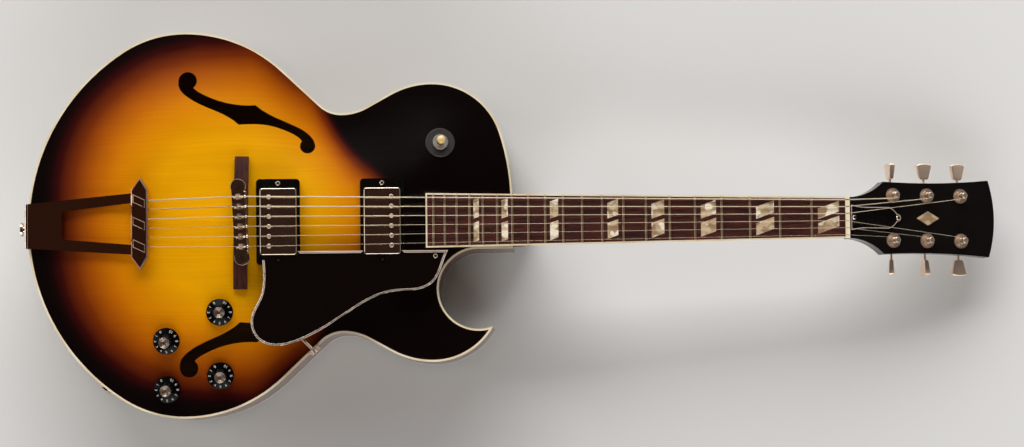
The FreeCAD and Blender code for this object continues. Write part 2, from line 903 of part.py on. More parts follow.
def end_blocks():
    inside = slab(wall_face, back_glue_z, top_glue_z)
    tail_low = Vector(tail_x, -tail_block_width / 2, back_glue_z)
    tail_high = Vector(tail_x + rim_thickness + tail_block_length, tail_block_width / 2, top_glue_z)
    neck_low = Vector(joint_x - rim_thickness - neck_block_length, -neck_seat_treble, back_glue_z)
    neck_high = Vector(joint_x, neck_seat_treble + neck_seat_bass / 2, top_glue_z)
    blocks = [box(tail_low, tail_high), box(neck_low, neck_high)]
    return [block.common(inside).cut(button_group) for block in blocks]


def inner_bracing():
    ring = wall_face.cut(lining_face)
    jack_room = upright(-jack_barrel_length, overrun, jack_barrel_radius + overrun)
    blocks = end_blocks() + [placed(jack_room, jack_place())]
    lows = (top_glue_z - lining_height, back_glue_z)
    strips = [slab(ring, low, low + lining_height).cut(blocks + [screw_group]) for low in lows]
    lower = top_surface.toShape()
    lower.translate(Vector(0, 0, -plate_thickness))
    inside = lower.extrude(Vector(0, 0, -arch_drop))
    bars = []
    for side in (1, -1):
        low = Vector(tail_x + bar_start, side * bar_offset - bar_width / 2, top_glue_z - bar_drop / 2)
        high = Vector(tail_x + bar_end, side * bar_offset + bar_width / 2, top_edge_z + arch_drop)
        bars.append(box(low, high).common(inside))
    return strips + bars


def head_face():
    def point(s, width, side):
        return Vector(s, side * width / 2, 0)

    corner = head_length - head_end_bulge
    edges = []
    for side in (1, -1):
        start = point(0, nut_width, side)
        mid_width = nut_width + (shoulder_width - nut_width) * shoulder_swell_share
        middle = point(shoulder_from_nut * shoulder_mid_share, mid_width, side)
        shoulder = point(shoulder_from_nut, shoulder_width, side)
        waist = point((shoulder_from_nut + corner) / 2, head_waist_width, side)
        end = point(corner, head_end_width, side)
        edges += [Part.Arc(start, middle, shoulder).toShape(), Part.Arc(shoulder, waist, end).toShape()]
    edges.append(Part.Arc(point(corner, head_end_width, 1), point(head_length, 0, 1),
                          point(corner, head_end_width, -1)).toShape())
    edges.append(Part.makeLine(point(0, nut_width, 1), point(0, nut_width, -1)))
    return Part.Face(Part.Wire(Part.__sortEdges__(edges)))


def post_spot(index):
    per_side = string_count // 2
    row = index % per_side
    side = 1 if index < per_side else -1
    return Vector(post_from_nut + row * post_pitch, side * post_offset, 0), side


def post_holes():
    holes = []
    for index in range(string_count):
        spot, side = post_spot(index)
        low = spot.sub(Vector(0, 0, head_thickness + overrun))
        high = spot.add(Vector(0, 0, veneer_thickness + overrun))
        holes.append(rod(low, high, bushing_sleeve_radius))
    return holes


def truss_pocket():
    low = Vector(truss_pocket_start, -truss_pocket_width / 2, -truss_pocket_depth)
    end = truss_pocket_start + truss_pocket_length
    high = Vector(end, truss_pocket_width / 2, veneer_thickness + overrun)
    return box(low, high)


# Half-round neck section under the fingerboard
def neck_section(u, depth):
    half = board_half(u)
    low = -depth * curve_handle_share
    back = Part.BezierCurve()
    back.setPoles([Vector(u, half, 0), Vector(u, half, low), Vector(u, -half, low), Vector(u, -half, 0)])
    return Part.Wire([back.toShape(), Part.makeLine(Vector(u, -half, 0), Vector(u, half, 0))])


def neck_shaft():
    start = neck_section(0, neck_depth_heel)
    end = neck_section(head_u, neck_depth_nut)
    shaft = Part.makeLoft([start, end], True, True)
    shaft.translate(Vector(0, 0, -board_thickness))
    return placed(shaft, neck_place)


def heel():
    top_z = board_z - board_thickness - heel_top_inset
    sections = []
    for step, share in enumerate(heel_curve_shares):
        level = step / (len(heel_curve_shares) - 1)
        z = top_z + (back_edge_z - top_z) * level
        half = (heel_width_top + (heel_width_bottom - heel_width_top) * level) / 2
        reach = (heel_length_bottom + (heel_length_top - heel_length_bottom) * share) * curve_handle_share
        front = Part.BezierCurve()
        front.setPoles([Vector(joint_x, half, z), Vector(joint_x + reach, half, z),
                        Vector(joint_x + reach, -half, z), Vector(joint_x, -half, z)])
        seam = Part.makeLine(Vector(joint_x, -half, z), Vector(joint_x, half, z))
        sections.append(Part.Wire([front.toShape(), seam]))
    return Part.makeLoft(sections, True, False)


# Wood that fills the space between the fingerboard's body end and the arched top
def neck_tongue():
    points = []
    for u, side in ((board_end_u, 1), (overrun, 1), (overrun, -1), (board_end_u, -1)):
        points.append((u, side * (board_half(u) - tongue_inset)))
    return placed(prism(points, -board_rise * 2, -board_thickness), neck_place)


def truss_rod_path():
    level = -board_thickness - truss_depth
    return rod(Vector(0, 0, level), Vector(head_u + truss_nut_from_head, 0, level), truss_radius)


def neck():
    head = placed(head_face().extrude(Vector(0, 0, -head_thickness)).cut(post_holes()), head_place)
    wood = neck_shaft().fuse([heel(), neck_tongue(), head])
    wood = wood.cut([under_top, body_block])
    wood = wood.cut([placed(truss_pocket(), head_place), placed(truss_rod_path(), neck_place)])
    return wood.cut([screw_group, button_group])


def headstock_veneer():
    veneer = head_face().extrude(Vector(0, 0, veneer_thickness))
    veneer = veneer.cut(post_holes() + [truss_pocket(), lozenge()])
    return placed(veneer, head_place).cut(screw_group)


def lozenge():
    points = [(lozenge_from_nut - lozenge_length / 2, 0), (lozenge_from_nut, -lozenge_width / 2),
              (lozenge_from_nut + lozenge_length / 2, 0), (lozenge_from_nut, lozenge_width / 2)]
    return prism(points, veneer_thickness - inlay_depth, veneer_thickness)


def truss_rod():
    level = -board_thickness - truss_depth
    start = head_u + truss_nut_from_head
    nut_piece = rod(Vector(start, 0, level), Vector(start + truss_nut_length, 0, level), truss_nut_radius)
    return [placed(truss_rod_path(), neck_place).cut(body_block), placed(nut_piece, neck_place)]


def cover_points(shares, side):
    half = side * cover_width / 2
    return [Vector(cover_from_nut + cover_length * along, half * aside, 0) for along, aside in shares]


# Bell-shaped plate: flared at the nut, drawn in to a rounded tip at its second screw
def truss_rod_cover():
    heels, tips, edges = [], [], []
    for side in (1, -1):
        flare = cover_points(cover_flare_shares, side)
        shoulder = cover_points(cover_shoulder_shares, side)
        edges.append(Part.Arc(*flare).toShape())
        edges.append(Part.makeLine(flare[2], shoulder[0]))
        edges.append(Part.Arc(*shoulder).toShape())
        heels.append(flare[0])
        tips.append(shoulder[2])
    edges.append(Part.Arc(tips[0], Vector(cover_from_nut + cover_length, 0, 0), tips[1]).toShape())
    edges.append(Part.makeLine(heels[0], heels[1]))
    plate = Part.Face(Part.Wire(Part.__sortEdges__(edges))).extrude(Vector(0, 0, cover_thickness))
    plate.translate(Vector(0, 0, veneer_thickness))
    return placed(plate, head_place).cut(screw_group)


def board_points(inset, end_inset):
    points = []
    for u, side in ((board_end_u + end_inset, 1), (nut_u, 1), (nut_u, -1), (board_end_u + end_inset, -1)):
        points.append((u, side * (board_half(u) - inset)))
    return points


def board_crown():
    start = Vector(board_end_u - overrun, 0, -board_radius)
    return rod(start, Vector(nut_u + overrun, 0, -board_radius), board_radius)


# Two slanted blocks in each marked space, which shorten faster than the spaces do
def inlay_prisms(low, high):
    first_space = fret_u(0) - fret_u(1)
    pieces = []
    for number in inlay_frets:
        start, end = fret_u(number), fret_u(number - 1)
        middle = (start + end) / 2
        half = (end - start) * inlay_length_share * math.sqrt((end - start) / first_space) / 2
        rise = half * inlay_slope_share
        height = board_half(middle) - inlay_margin - inlay_gap / 2 - rise
        apart = (height + inlay_gap) / 2
        for center in (apart, -apart):
            bottom = center - height / 2
            top = center + height / 2
            points = [(middle - half, bottom - rise), (middle + half, bottom + rise),
                      (middle + half, top + rise), (middle - half, top - rise)]
            pieces.append(prism(points, low, high))
    return pieces


def full_board():
    return prism(board_points(0, 0), -board_thickness, 0).common(board_crown())


def board_core(low, high):
    return prism(board_points(board_binding_width, board_binding_width), low, high)


def fingerboard():
    core = board_core(-board_thickness, 0).common(board_crown())
    return placed(core.cut(inlay_prisms(-inlay_depth, overrun)), neck_place)


def fingerboard_binding():
    core = board_core(-board_thickness - overrun, overrun)
    return placed(full_board().cut(core).fuse(fret_nibs()).removeSplitter(), neck_place)


# The binding rises over the end of each fret
def fret_nibs():
    inner = board_binding_width - nib_gap
    edge = prism(board_points(nib_gap, nib_gap), -board_thickness, fret_height)
    edge = edge.cut(prism(board_points(inner, inner), -board_thickness - overrun, fret_height + overrun))
    nibs = []
    for number in range(1, fret_count + 1):
        u = fret_u(number)
        half = board_half(u)
        low = Vector(u - fret_width / 2, -half - overrun, -board_thickness / 2)
        high = Vector(u + fret_width / 2, half + overrun, fret_height - crown_drop(half))
        nibs += box(low, high).common(edge).Solids
    return nibs


def pearl_inlays():
    crown = board_crown()
    pieces = [piece.common(crown) for piece in inlay_prisms(-inlay_depth, overrun)]
    return [placed(piece, neck_place) for piece in pieces] + [placed(lozenge(), head_place)]


def fret(number):
    u = fret_u(number) - fret_width / 2
    half = board_half(fret_u(number)) - board_binding_width

    def crown_arc(height):
        edge = crown_drop(half)
        return [Vector(u, half, height - edge), Vector(u, 0, height), Vector(u, -half, height - edge)]

    low, high = crown_arc(0), crown_arc(fret_height)
    edges = [Part.Arc(*low).toShape(), Part.makeLine(low[2], high[2]),
             Part.Arc(*high).toShape(), Part.makeLine(high[0], low[0])]
    wire = Part.Face(Part.Wire(Part.__sortEdges__(edges))).extrude(Vector(fret_width, 0, 0))
    crowns = [edge for edge in wire.Edges
              if edge.CenterOfMass.z > fret_height - fret_round and edge.Length > half]
    return placed(wire.makeFillet(fret_round, crowns), neck_place)


def frets():
    return [fret(number + 1) for number in range(fret_count)]


# Slot in the nut along one string, sloping down to its post and open above
def nut_slot(index):
    radius = string_radii[index] + nut_slot_gap
    corner = nut_point(index)
    front = saddle_point(index).sub(corner).normalize() * overrun
    back = neck_place.inverse().multVec(string_post_point(index)).sub(corner).normalize() * (nut_length * 2)
    rise = Vector(0, 0, nut_height * 2)
    channels = []
    for end in (corner.add(front), corner.add(back)):
        corners = [corner, end, end.add(rise), corner.add(rise), corner]
        wall = Part.Face(Part.makePolygon(corners))
        across = end.sub(corner).cross(rise).normalize() * radius
        wall.translate(across)
        channels += [rod(corner, end, radius), wall.extrude(across * -2)]
    return channels


def nut():
    half = nut_width / 2
    block = box(Vector(nut_u, -half, -board_thickness), Vector(head_u, half, nut_height))
    slots = sum([nut_slot(index) for index in range(string_count)], [])
    return placed(block.cut(slots), neck_place)


def post_index(string):
    half_count = string_count // 2
    return string if string < half_count else half_count + string_count - 1 - string


def string_post_point(index):
    spot, side = post_spot(post_index(index))
    reach = post_waist_radius + string_post_gap + string_radii[index]
    return head_place.multVec(Vector(spot.x, spot.y - side * reach, veneer_thickness + string_post_height))


# One string from saddle to post, bending over the front of the nut
def string_run(index):
    start = neck_place.multVec(saddle_point(index))
    corner = neck_place.multVec(nut_point(index))
    end = string_post_point(index)
    speaking = corner.sub(start).normalize()
    behind = end.sub(corner).normalize()
    half_turn = speaking.getAngle(behind) / 2
    reach = string_bend_radius * math.tan(half_turn)
    inward = behind.sub(speaking).normalize()
    middle = corner.add(inward * (string_bend_radius / math.cos(half_turn) - string_bend_radius))
    bend_start = corner.sub(speaking * reach)
    bend_end = corner.add(behind * reach)
    path = Part.Wire([Part.makeLine(start, bend_start), Part.Arc(bend_start, middle, bend_end).toShape(),
                      Part.makeLine(bend_end, end)])
    section = Part.Wire(Part.makeCircle(string_radii[index], start, speaking))
    return path.makePipeShell([section], True, False)


def strings():
    return [string_run(index) for index in range(string_count)]


def string_afterlengths():
    runs = []
    for index in range(string_count):
        saddle = neck_place.multVec(saddle_point(index))
        hole_end = tail_reach - tail_hole_depth
        start = tail_place.multVec(Vector(hole_end, string_shift(index, tail_string_spread), 0))
        run = saddle.sub(start)
        end = start.add(run * (1 - saddle_string_gap / run.Length))
        runs.append(rod(start, end, string_radii[index]))
    return runs


def tuner_bushings():
    top = bushing_flange_height + bushing_collar_height
    bore = post_radius + running_gap
    group = []
    for index in range(string_count):
        spot, side = post_spot(index)
        ring = turned([(bore, -bushing_sleeve_depth), (bushing_sleeve_radius, -bushing_sleeve_depth),
                       (bushing_sleeve_radius, 0), (bushing_flange_radius, 0),
                       (bushing_flange_radius, bushing_flange_height),
                       (bushing_collar_radius, bushing_flange_height),
                       (bushing_collar_radius, top), (bore, top)])
        ring.translate(spot.add(Vector(0, 0, veneer_thickness)))
        group.append(placed(ring, head_place))
    return group


def tuner_housings():
    group = []
    low = -head_thickness - housing_height
    for index in range(string_count):
        spot, side = post_spot(index)
        case = rounded_block(housing_length, housing_width, low, -head_thickness, housing_round)
        room = centered_box(housing_length - 2 * housing_wall, housing_width - 2 * housing_wall,
                            low + housing_wall, -head_thickness - housing_wall)
        case = case.cut(room)
        case.translate(spot.add(Vector(key_offset / 2, 0, 0)))
        bore = rod(spot.sub(Vector(0, 0, key_drop)), spot, post_radius + running_gap)
        key_start = spot.add(Vector(key_offset, 0, -key_drop))
        key_end = key_start.add(Vector(0, side * housing_width, 0))
        key_bore = rod(key_start, key_end, key_shaft_radius + running_gap)
        group.append(placed(case.cut([bore, key_bore]), head_place))
    return group


def tuner_post(index):
    spot, side = post_spot(index)
    top = veneer_thickness + post_height
    low = -key_drop - wheel_thickness / 2
    wheel_high = low + wheel_thickness
    waist_low = veneer_thickness + post_waist_low
    waist_high = veneer_thickness + post_waist_high
    post = turned([(0, low), (wheel_radius, low), (wheel_radius, wheel_high), (post_radius, wheel_high),
                   (post_radius, waist_low), (post_waist_radius, waist_low + gear_gap),
                   (post_waist_radius, waist_high - gear_gap), (post_radius, waist_high),
                   (post_radius, top - gear_gap), (post_radius - gear_gap, top), (0, top)])
    level = veneer_thickness + string_post_height
    hole = rod(Vector(0, -post_radius * 2, level), Vector(0, post_radius * 2, level), post_hole_radius)
    post = post.cut(hole)
    post.translate(spot)
    return placed(post, head_place)


def key_place(index):
    spot, side = post_spot(index)
    axis_spot = spot.add(Vector(key_offset, 0, -key_drop))
    facing = Rotation(z_axis, y_axis * side)
    return head_place.multiply(Placement(axis_spot, facing))


# Tulip button, widest at its outer end, drawn on the key's own axis
# Edges of the button's plate that run through its thickness
def button_corners(plate, low, high):
    corners = []
    for edge in plate.Edges:
        way = edge.tangentAt(edge.FirstParameter)
        if abs(way.y) > abs(way.x) + abs(way.z) and low < edge.CenterOfMass.z < high:
            corners.append(edge)
    return corners


def tuner_button():
    start = button_start - post_offset
    end = start + button_length
    corner_z = end - button_bulge
    middle = (start + end) / 2
    outer = button_width / 2
    foot = button_foot_width / 2
    feet = [Vector(side * foot, 0, start) for side in (1, -1)]
    tips = [Vector(side * outer, 0, corner_z) for side in (1, -1)]
    edges = [Part.makeLine(feet[1], feet[0]), Part.makeLine(feet[0], tips[0]),
             Part.Arc(tips[0], Vector(0, 0, end), tips[1]).toShape(), Part.makeLine(tips[1], feet[1])]
    flat = Part.Face(Part.Wire(edges)).extrude(Vector(0, button_thickness, 0))
    flat.translate(Vector(0, -button_thickness / 2, 0))
    flat = flat.makeFillet(button_foot_round, button_corners(flat, start - overrun, middle))
    flat = flat.makeFillet(button_corner_round, button_corners(flat, middle, end))
    root_half = button_root_thickness / 2
    wide_half = button_thickness / 2
    wedge = [(start, root_half), (end, wide_half), (end, -wide_half), (start, -root_half)]
    wire = Part.makePolygon([Vector(-outer, y, z) for z, y in wedge + wedge[:1]])
    taper = Part.Face(wire).extrude(Vector(button_width, 0, 0))
    button = flat.common(taper)
    rims = [edge for edge in button.Edges if abs(edge.CenterOfMass.y) > root_half / 2]
    return button.makeFillet(button_round, rims)


def tuner_key(index):
    start = button_start - post_offset
    inside = housing_width / 2 - housing_wall
    worm = upright(gear_gap - inside, inside - gear_gap, worm_radius)
    shaft = upright(0, start + overrun, key_shaft_radius)
    collar_start = housing_width / 2 + gear_gap
    collar = upright(collar_start, collar_start + key_collar_length, key_collar_radius)
    key = shaft.fuse([worm, collar, tuner_button()])
    key.rotate(Vector(), z_axis, key_turns[index])
    return placed(key, key_place(index))


def pickup_ring(index):
    place = pickup_place(index, -ring_below_board)
    block = rounded_block(ring_length, ring_width, -ring_depth, 0, ring_round)
    low = -ring_depth - overrun
    window = centered_box(cover_long + 2 * ring_gap, cover_wide + 2 * ring_gap, low, overrun)
    tab_top = ring_below_board - cover_below_board - cover_high + pickup_up + gear_gap
    tab_room = centered_box(tab_length + 2 * pocket_gap, tab_width + 2 * pocket_gap, low, tab_top)
    ring = placed(block.cut([window, tab_room]), place)
    return ring.cut([under_top, screw_group])


def pole_screw():
    screw = upright(-cover_high, pole_proud, pole_radius)
    rims = [edge for edge in screw.Edges if edge.CenterOfMass.z > 0 and edge.Closed]
    return screw.makeChamfer(pole_bevel, rims)


def pickup(index):
    place = pickup_place(index, -cover_below_board)
    side = -pole_sides[index]
    cover = rounded_block(cover_long, cover_wide, -cover_high, 0, cover_round)
    rims = [edge for edge in cover.Edges if edge.CenterOfMass.z > -cover_edge_round / 2]
    cover = cover.makeFillet(cover_edge_round, rims)
    inner_long = cover_long - 2 * cover_wall
    inner_wide = cover_wide - 2 * cover_wall
    room = centered_box(inner_long, inner_wide, -cover_high - overrun, -cover_wall)
    coil = centered_box(inner_long - 2 * cover_wall, inner_wide - 2 * cover_wall, -cover_high, -cover_wall)
    low = -cover_high - base_plate_thickness
    base = centered_box(cover_long, cover_wide, low, -cover_high)
    tabs = centered_box(tab_length, tab_width, low, -cover_high)
    screw_x = ring_length / 2 - height_screw_inset
    hole = upright(low - overrun, 0, screw_shank_radius + tab_hole_gap)
    holes = [placed(hole, shift(x, 0, 0)) for x in (screw_x, -screw_x)]
    poles = []
    for number in range(string_count):
        spot = shift(string_shift(number, pole_spread), side * pole_row, 0)
        poles.append(placed(pole_screw(), spot))
    solids = [cover.cut([room] + poles), coil.cut(poles), base.fuse(tabs).removeSplitter().cut(holes)]
    across = 2 * pole_radius + overrun
    slot = centered_box(pole_slot, across, pole_proud - pole_slot_depth, pole_proud + overrun)
    for number, pole in enumerate(poles):
        solids.append(pole.cut(placed(slot, shift(string_shift(number, pole_spread), side * pole_row, 0))))
    return [placed(solid, place) for solid in solids]


def guard_face():
    origin_u = -guard_from_joint
    points = [Vector(origin_u - along * guard_length, -guard_string_edge - deep * guard_depth, 0)
              for along, deep in guard_edge_shares]
    curve = Part.BSplineCurve()
    curve.interpolate(points)
    closing = Part.makeLine(points[-1], points[0])
    return Part.Face(Part.Wire([curve.toShape(), closing]))


def pickguard():
    plate = guard_face().extrude(Vector(0, 0, -guard_thickness))
    plate.translate(Vector(0, 0, -guard_below_board))
    long = cover_long / 2 + guard_notch_gap
    wide = cover_wide / 2 + guard_notch_gap
    cutters = []
    for index, from_joint in enumerate(pickup_from_joint):
        tail_side = wide if index == 0 else guard_length
        low = Vector(-from_joint - tail_side, -long, -ring_depth)
        cutters.append(box(low, Vector(-from_joint + wide, long, overrun)))
        hole = shift(-from_joint, height_screw_inset - ring_length / 2, 0)
        cutters.append(placed(upright(-ring_depth, overrun, guard_screw_hole), hole))
    cutters.append(guard_bridge_room())
    return placed(plate.cut(cutters), neck_place).cut([screw_group] + guard_knob_rooms())


# Space beside the bridge that a longer guard would have to leave open
def guard_bridge_room():
    half = max(bridge_length / 2, stud_spacing / 2 + wheel_disc_radius) + guard_notch_gap
    lean = half * math.tan(math.radians(bridge_skew))
    near = bridge_u + bridge_width / 2 + saddle_screw_head + 2 * wire_radius + lean + guard_notch_gap
    return box(Vector(near - guard_length, -half, -ring_depth), Vector(near, half, overrun))


# Space round each knob that the guard keeps clear of
def guard_knob_rooms():
    room = upright(-overrun, knob_lift + knob_height + overrun, knob_skirt_radius + guard_notch_gap)
    return [placed(room, knob_seat(index)) for index in range(len(knob_place_shares))]


def pickguard_bracket():
    under = -guard_below_board - guard_thickness
    post_top = guard_point(guard_post_from_tail, guard_post_offset, under)
    tilt = Rotation(y_axis, neck_angle)
    spacer = placed(upright(-board_rise * 2, 0, guard_post_radius), Placement(post_top, tilt))
    spacer = spacer.cut([under_top, body_block, screw_group])
    pad_top = guard_point(guard_bolt_from_tail, guard_bolt_offset, under)
    pad = placed(upright(-2 * guard_rod_drop, 0, guard_pad_radius), Placement(pad_top, tilt))
    foot = foot_place()
    outer = guard_foot_gap + guard_foot_thickness
    level = pad_top.z - guard_rod_drop
    strap = box(Vector(guard_foot_gap, -guard_foot_width / 2, top_edge_z - guard_foot_height),
                Vector(outer, guard_foot_width / 2, level + guard_nut_radius + guard_foot_thickness))
    strap = placed(strap, foot).cut(screw_group)
    rod_end = foot.multVec(Vector(outer + guard_nut_length, 0, level))
    rod_start = Vector(pad_top.x, pad_top.y, level)
    stem = rod(rod_start, rod_end, guard_rod_radius)
    nut_piece = rod(foot.multVec(Vector(outer, 0, level)), rod_end, guard_nut_radius)
    return [spacer, pad.fuse([stem, strap, nut_piece])]


def base_place():
    return Placement(Vector(crown_point.x, 0, 0), Rotation(z_axis, base_skew))


def stud_spots():
    return [bridge_place.multVec(Vector(0, side * stud_spacing / 2, 0)) for side in (1, -1)]


def bridge_base():
    half = base_length / 2
    deck = half * base_deck_share
    wing_z = top_edge_z + top_arch + base_wing_height
    low = top_edge_z
    profile = [(-half, low), (half, low), (half, wing_z),
               (deck, base_top_z), (-deck, base_top_z), (-half, wing_z)]
    wire = Part.makePolygon([Vector(-base_width / 2, y, z) for y, z in profile + profile[:1]])
    block = Part.Face(wire).extrude(Vector(base_width, 0, 0))
    return placed(block, base_place()).cut([under_top] + bridge_studs())


def bridge_studs():
    high = crown_point.z - bridge_below_crown + stud_proud
    slot = centered_box(2 * stud_radius + overrun, stud_slot, high - stud_slot, high + overrun)
    stud = upright(base_top_z - stud_depth, high, stud_radius).cut(slot)
    return [placed(stud, shift(spot.x, spot.y, 0)) for spot in stud_spots()]


def saddle_screw(index):
    y = string_shift(index, bridge_string_spread)
    level = -bridge_below_crown - bridge_height / 2
    half = bridge_width / 2
    shaft = rod(Vector(-half, y, level), Vector(half, y, level), saddle_screw_radius)
    head = rod(Vector(half, y, level), Vector(half + saddle_screw_head, y, level), saddle_screw_head_radius)
    return shaft.fuse(head)


def retaining_wire():
    x = bridge_width / 2 + saddle_screw_head + wire_radius
    level = -bridge_below_crown - bridge_height / 2 + saddle_screw_head_radius - wire_radius
    half = wire_length / 2
    run = rod(Vector(x, -half, level), Vector(x, half, level), wire_radius)
    ends = [rod(Vector(x, y, level), Vector(bridge_width / 2, y, level), wire_radius) for y in (half, -half)]
    elbows = [Part.makeSphere(wire_radius, Vector(x, y, level)) for y in (half, -half)]
    return run.fuse(ends + elbows)


def bridge_frame():
    low = -bridge_below_crown - bridge_height
    bar = rounded_block(bridge_width, bridge_length, low, -bridge_below_crown, bridge_width / 2 - gear_gap)
    slot_length = saddle_length + 2 * saddle_travel + 2 * gear_gap
    cutters = []
    for index in range(string_count):
        y = string_shift(index, bridge_string_spread)
        cutters.append(box(Vector(-slot_length / 2, y - saddle_slot_width / 2, low + saddle_floor),
                           Vector(slot_length / 2, y + saddle_slot_width / 2, 0)))
    for side in (1, -1):
        y = side * stud_spacing / 2
        cutters.append(rod(Vector(0, y, low - overrun), Vector(0, y, 0), stud_radius + stud_bore_gap))
    screws_here = [saddle_screw(index) for index in range(string_count)]
    solids = [bar.cut(cutters + screws_here)] + screws_here + [retaining_wire()]
    return [placed(solid, bridge_place) for solid in solids]


def saddle(index):
    y = string_shift(index, bridge_string_spread)
    floor_z = -bridge_below_crown - bridge_height + saddle_floor + gear_gap
    shoulder = -bridge_below_crown + gear_gap
    crest = -crown_drop(y) - saddle_string_gap
    half = saddle_length / 2
    tip = saddle_crest / 2
    profile = [(-half, floor_z), (half, floor_z), (half, shoulder),
               (tip, crest), (-tip, crest), (-half, shoulder)]
    wire = Part.makePolygon([Vector(x, y - saddle_width / 2, z) for x, z in profile + profile[:1]])
    block = Part.Face(wire).extrude(Vector(0, saddle_width, 0))
    level = -bridge_below_crown - bridge_height / 2
    bore_radius = saddle_screw_radius + running_gap
    bore = rod(Vector(-saddle_length, y, level), Vector(saddle_length, y, level), bore_radius)
    return placed(block.cut(bore), bridge_place)


def thumbwheel(index):
    spot = stud_spots()[index]
    high = stud_low + wheel_disc_height
    ring = turned([(stud_radius + running_gap, stud_low), (wheel_disc_radius - gear_gap, stud_low),
                   (wheel_disc_radius, stud_low + gear_gap), (wheel_disc_radius, high - gear_gap),
                   (wheel_disc_radius - gear_gap, high), (stud_radius + running_gap, high)])
    ring.translate(Vector(spot.x, spot.y, 0))
    return ring


def knuckle_span(number):
    pitch = hinge_width / knuckle_count
    start = -hinge_width / 2 + number * pitch
    return start + hinge_gap / 2, start + pitch - hinge_gap / 2


# Every second barrel of the hinge, or the room cut around them in the other leaf
def knuckles(first, relief, margin):
    barrels = []
    for number in range(first, knuckle_count, 2):
        start, end = knuckle_span(number)
        barrels.append(rod(Vector(0, start - margin, 0), Vector(0, end + margin, 0), knuckle_radius + relief))
    return barrels


def tail_bracket():
    half = hinge_width / 2
    foot = leaf_foot_width / 2
    points = [(half, 0), (half, -hinge_width / 2), (foot, -leaf_depth), (-foot, -leaf_depth),
              (-half, -hinge_width / 2), (-half, 0)]
    wire = Part.makePolygon([Vector(0, y, z) for y, z in points + points[:1]])
    leaf = Part.Face(wire).extrude(Vector(-leaf_thickness, 0, 0))
    leaf.translate(Vector(hinge_overhang, 0, 0))
    bore = rod(Vector(0, -half - overrun, 0), Vector(0, half + overrun, 0), pin_radius)
    leaf = leaf.fuse(knuckles(0, 0, 0)).cut(knuckles(1, hinge_relief, hinge_gap) + [bore])
    pin = rod(Vector(0, -half, 0), Vector(0, half, 0), pin_radius)
    place = Placement(hinge_point, Rotation())
    return [placed(leaf, place).cut(button_group), placed(pin, place)]


def tail_frame():
    half = hinge_width / 2
    arm = tail_arm_width / 2
    plate_half = tail_plate_thickness / 2
    sheet_points = [(0, half), (bar_from_hinge, arm), (bar_from_hinge, -arm), (0, -half)]
    sheet = prism(sheet_points, -plate_half, plate_half)
    root = tail_window_root_width / 2
    wide = tail_window_bar_width / 2
    window_points = [(tail_window_start, root), (bar_from_hinge, wide),
                     (bar_from_hinge, -wide), (tail_window_start, -root)]
    window = prism(window_points, -overrun, overrun)
    corners = [edge for edge in window.Edges if abs(edge.CenterOfMass.z) < plate_half
               and edge.CenterOfMass.x < tail_window_start + overrun and abs(edge.CenterOfMass.y) > overrun]
    window = window.makeFillet(tail_window_round, corners)
    middle = bar_from_hinge + bar_length * bar_tip_share
    points = [(bar_from_hinge, bar_shoulder), (middle, bar_tip), (tail_reach, bar_shoulder),
              (tail_reach, -bar_shoulder), (middle, -bar_tip), (bar_from_hinge, -bar_shoulder)]
    bar = prism(points, -bar_height_below, bar_height_above)
    rims = [edge for edge in bar.Edges if edge.CenterOfMass.z > bar_height_above - bar_bevel / 2]
    bar = bar.makeChamfer(bar_bevel, rims)
    return sheet.cut(window).fuse(bar)


# Raised slanted panels along the crossbar
def bar_gems():
    length = bar_length * bar_gem_length_share
    height = bar_gem_pitch * bar_gem_width_share
    slant = bar_gem_pitch * bar_gem_slant_share
    start = bar_from_hinge + (bar_length - length) / 2
    gems = []
    for number in range(bar_gem_count):
        middle = ((bar_gem_count - 1) / 2 - number) * bar_gem_pitch
        points = [(start, middle + height / 2), (start + length, middle + height / 2 - slant),
                  (start + length, middle - height / 2), (start, middle - height / 2 + slant)]
        gem = prism(points, bar_height_above - bar_bevel, bar_height_above + bar_gem_height)
        rims = [edge for edge in gem.Edges if edge.CenterOfMass.z > bar_height_above + bar_gem_height / 2]
        gems.append(gem.makeChamfer(bar_gem_height / 2, rims))
    return gems


def tailpiece():
    bore = rod(Vector(0, -hinge_width, 0), Vector(0, hinge_width, 0), pin_radius + running_gap)
    holes = []
    for index in range(string_count):
        y = string_shift(index, tail_string_spread)
        start = Vector(tail_reach - tail_hole_depth, y, 0)
        holes.append(rod(start, Vector(tail_reach + overrun, y, 0), tail_hole_radius))
    frame = tail_frame().fuse(knuckles(1, 0, 0)).cut(knuckles(0, hinge_relief, hinge_gap) + [bore])
    frame = frame.fuse(bar_gems()).cut(holes)
    return placed(frame.removeSplitter(), tail_place)


def knob(index):
    top = knob_lift + knob_height
    skirt_top = knob_lift + knob_skirt_height
    cap_low = top - knob_cap_depth
    shaft_top = cap_low - overrun
    body = turned([(pot_shaft_radius, knob_lift), (knob_skirt_radius, knob_lift),
                   (knob_skirt_radius, knob_lift + knob_skirt_edge), (knob_stem_radius, skirt_top),
                   (knob_top_radius, top - gear_gap), (knob_top_radius - gear_gap, top),
                   (knob_cap_radius, top), (knob_cap_radius, cap_low), (0, cap_low),
                   (0, shaft_top), (pot_shaft_radius, shaft_top)])
    cap = upright(cap_low, top, knob_cap_radius)
    shaft = upright(-plate_thickness - pot_gap - pot_height / 2, shaft_top, pot_shaft_radius)
    return [placed(solid, knob_seat(index)) for solid in (body, cap, shaft)]


def control_pots():
    bore = pot_shaft_radius + running_gap
    high = -plate_thickness - pot_gap
    low = high - pot_height
    floor_z = high - pot_height / 2 - gear_gap
    group = []
    for index in range(len(knob_offset)):
        pot = turned([(bore, pot_bushing_proud), (pot_bushing_radius, pot_bushing_proud),
                      (pot_bushing_radius, high), (pot_radius, high), (pot_radius, low), (0, low),
                      (0, floor_z), (bore, floor_z)])
        group.append(placed(pot, knob_seat(index)))
    return group


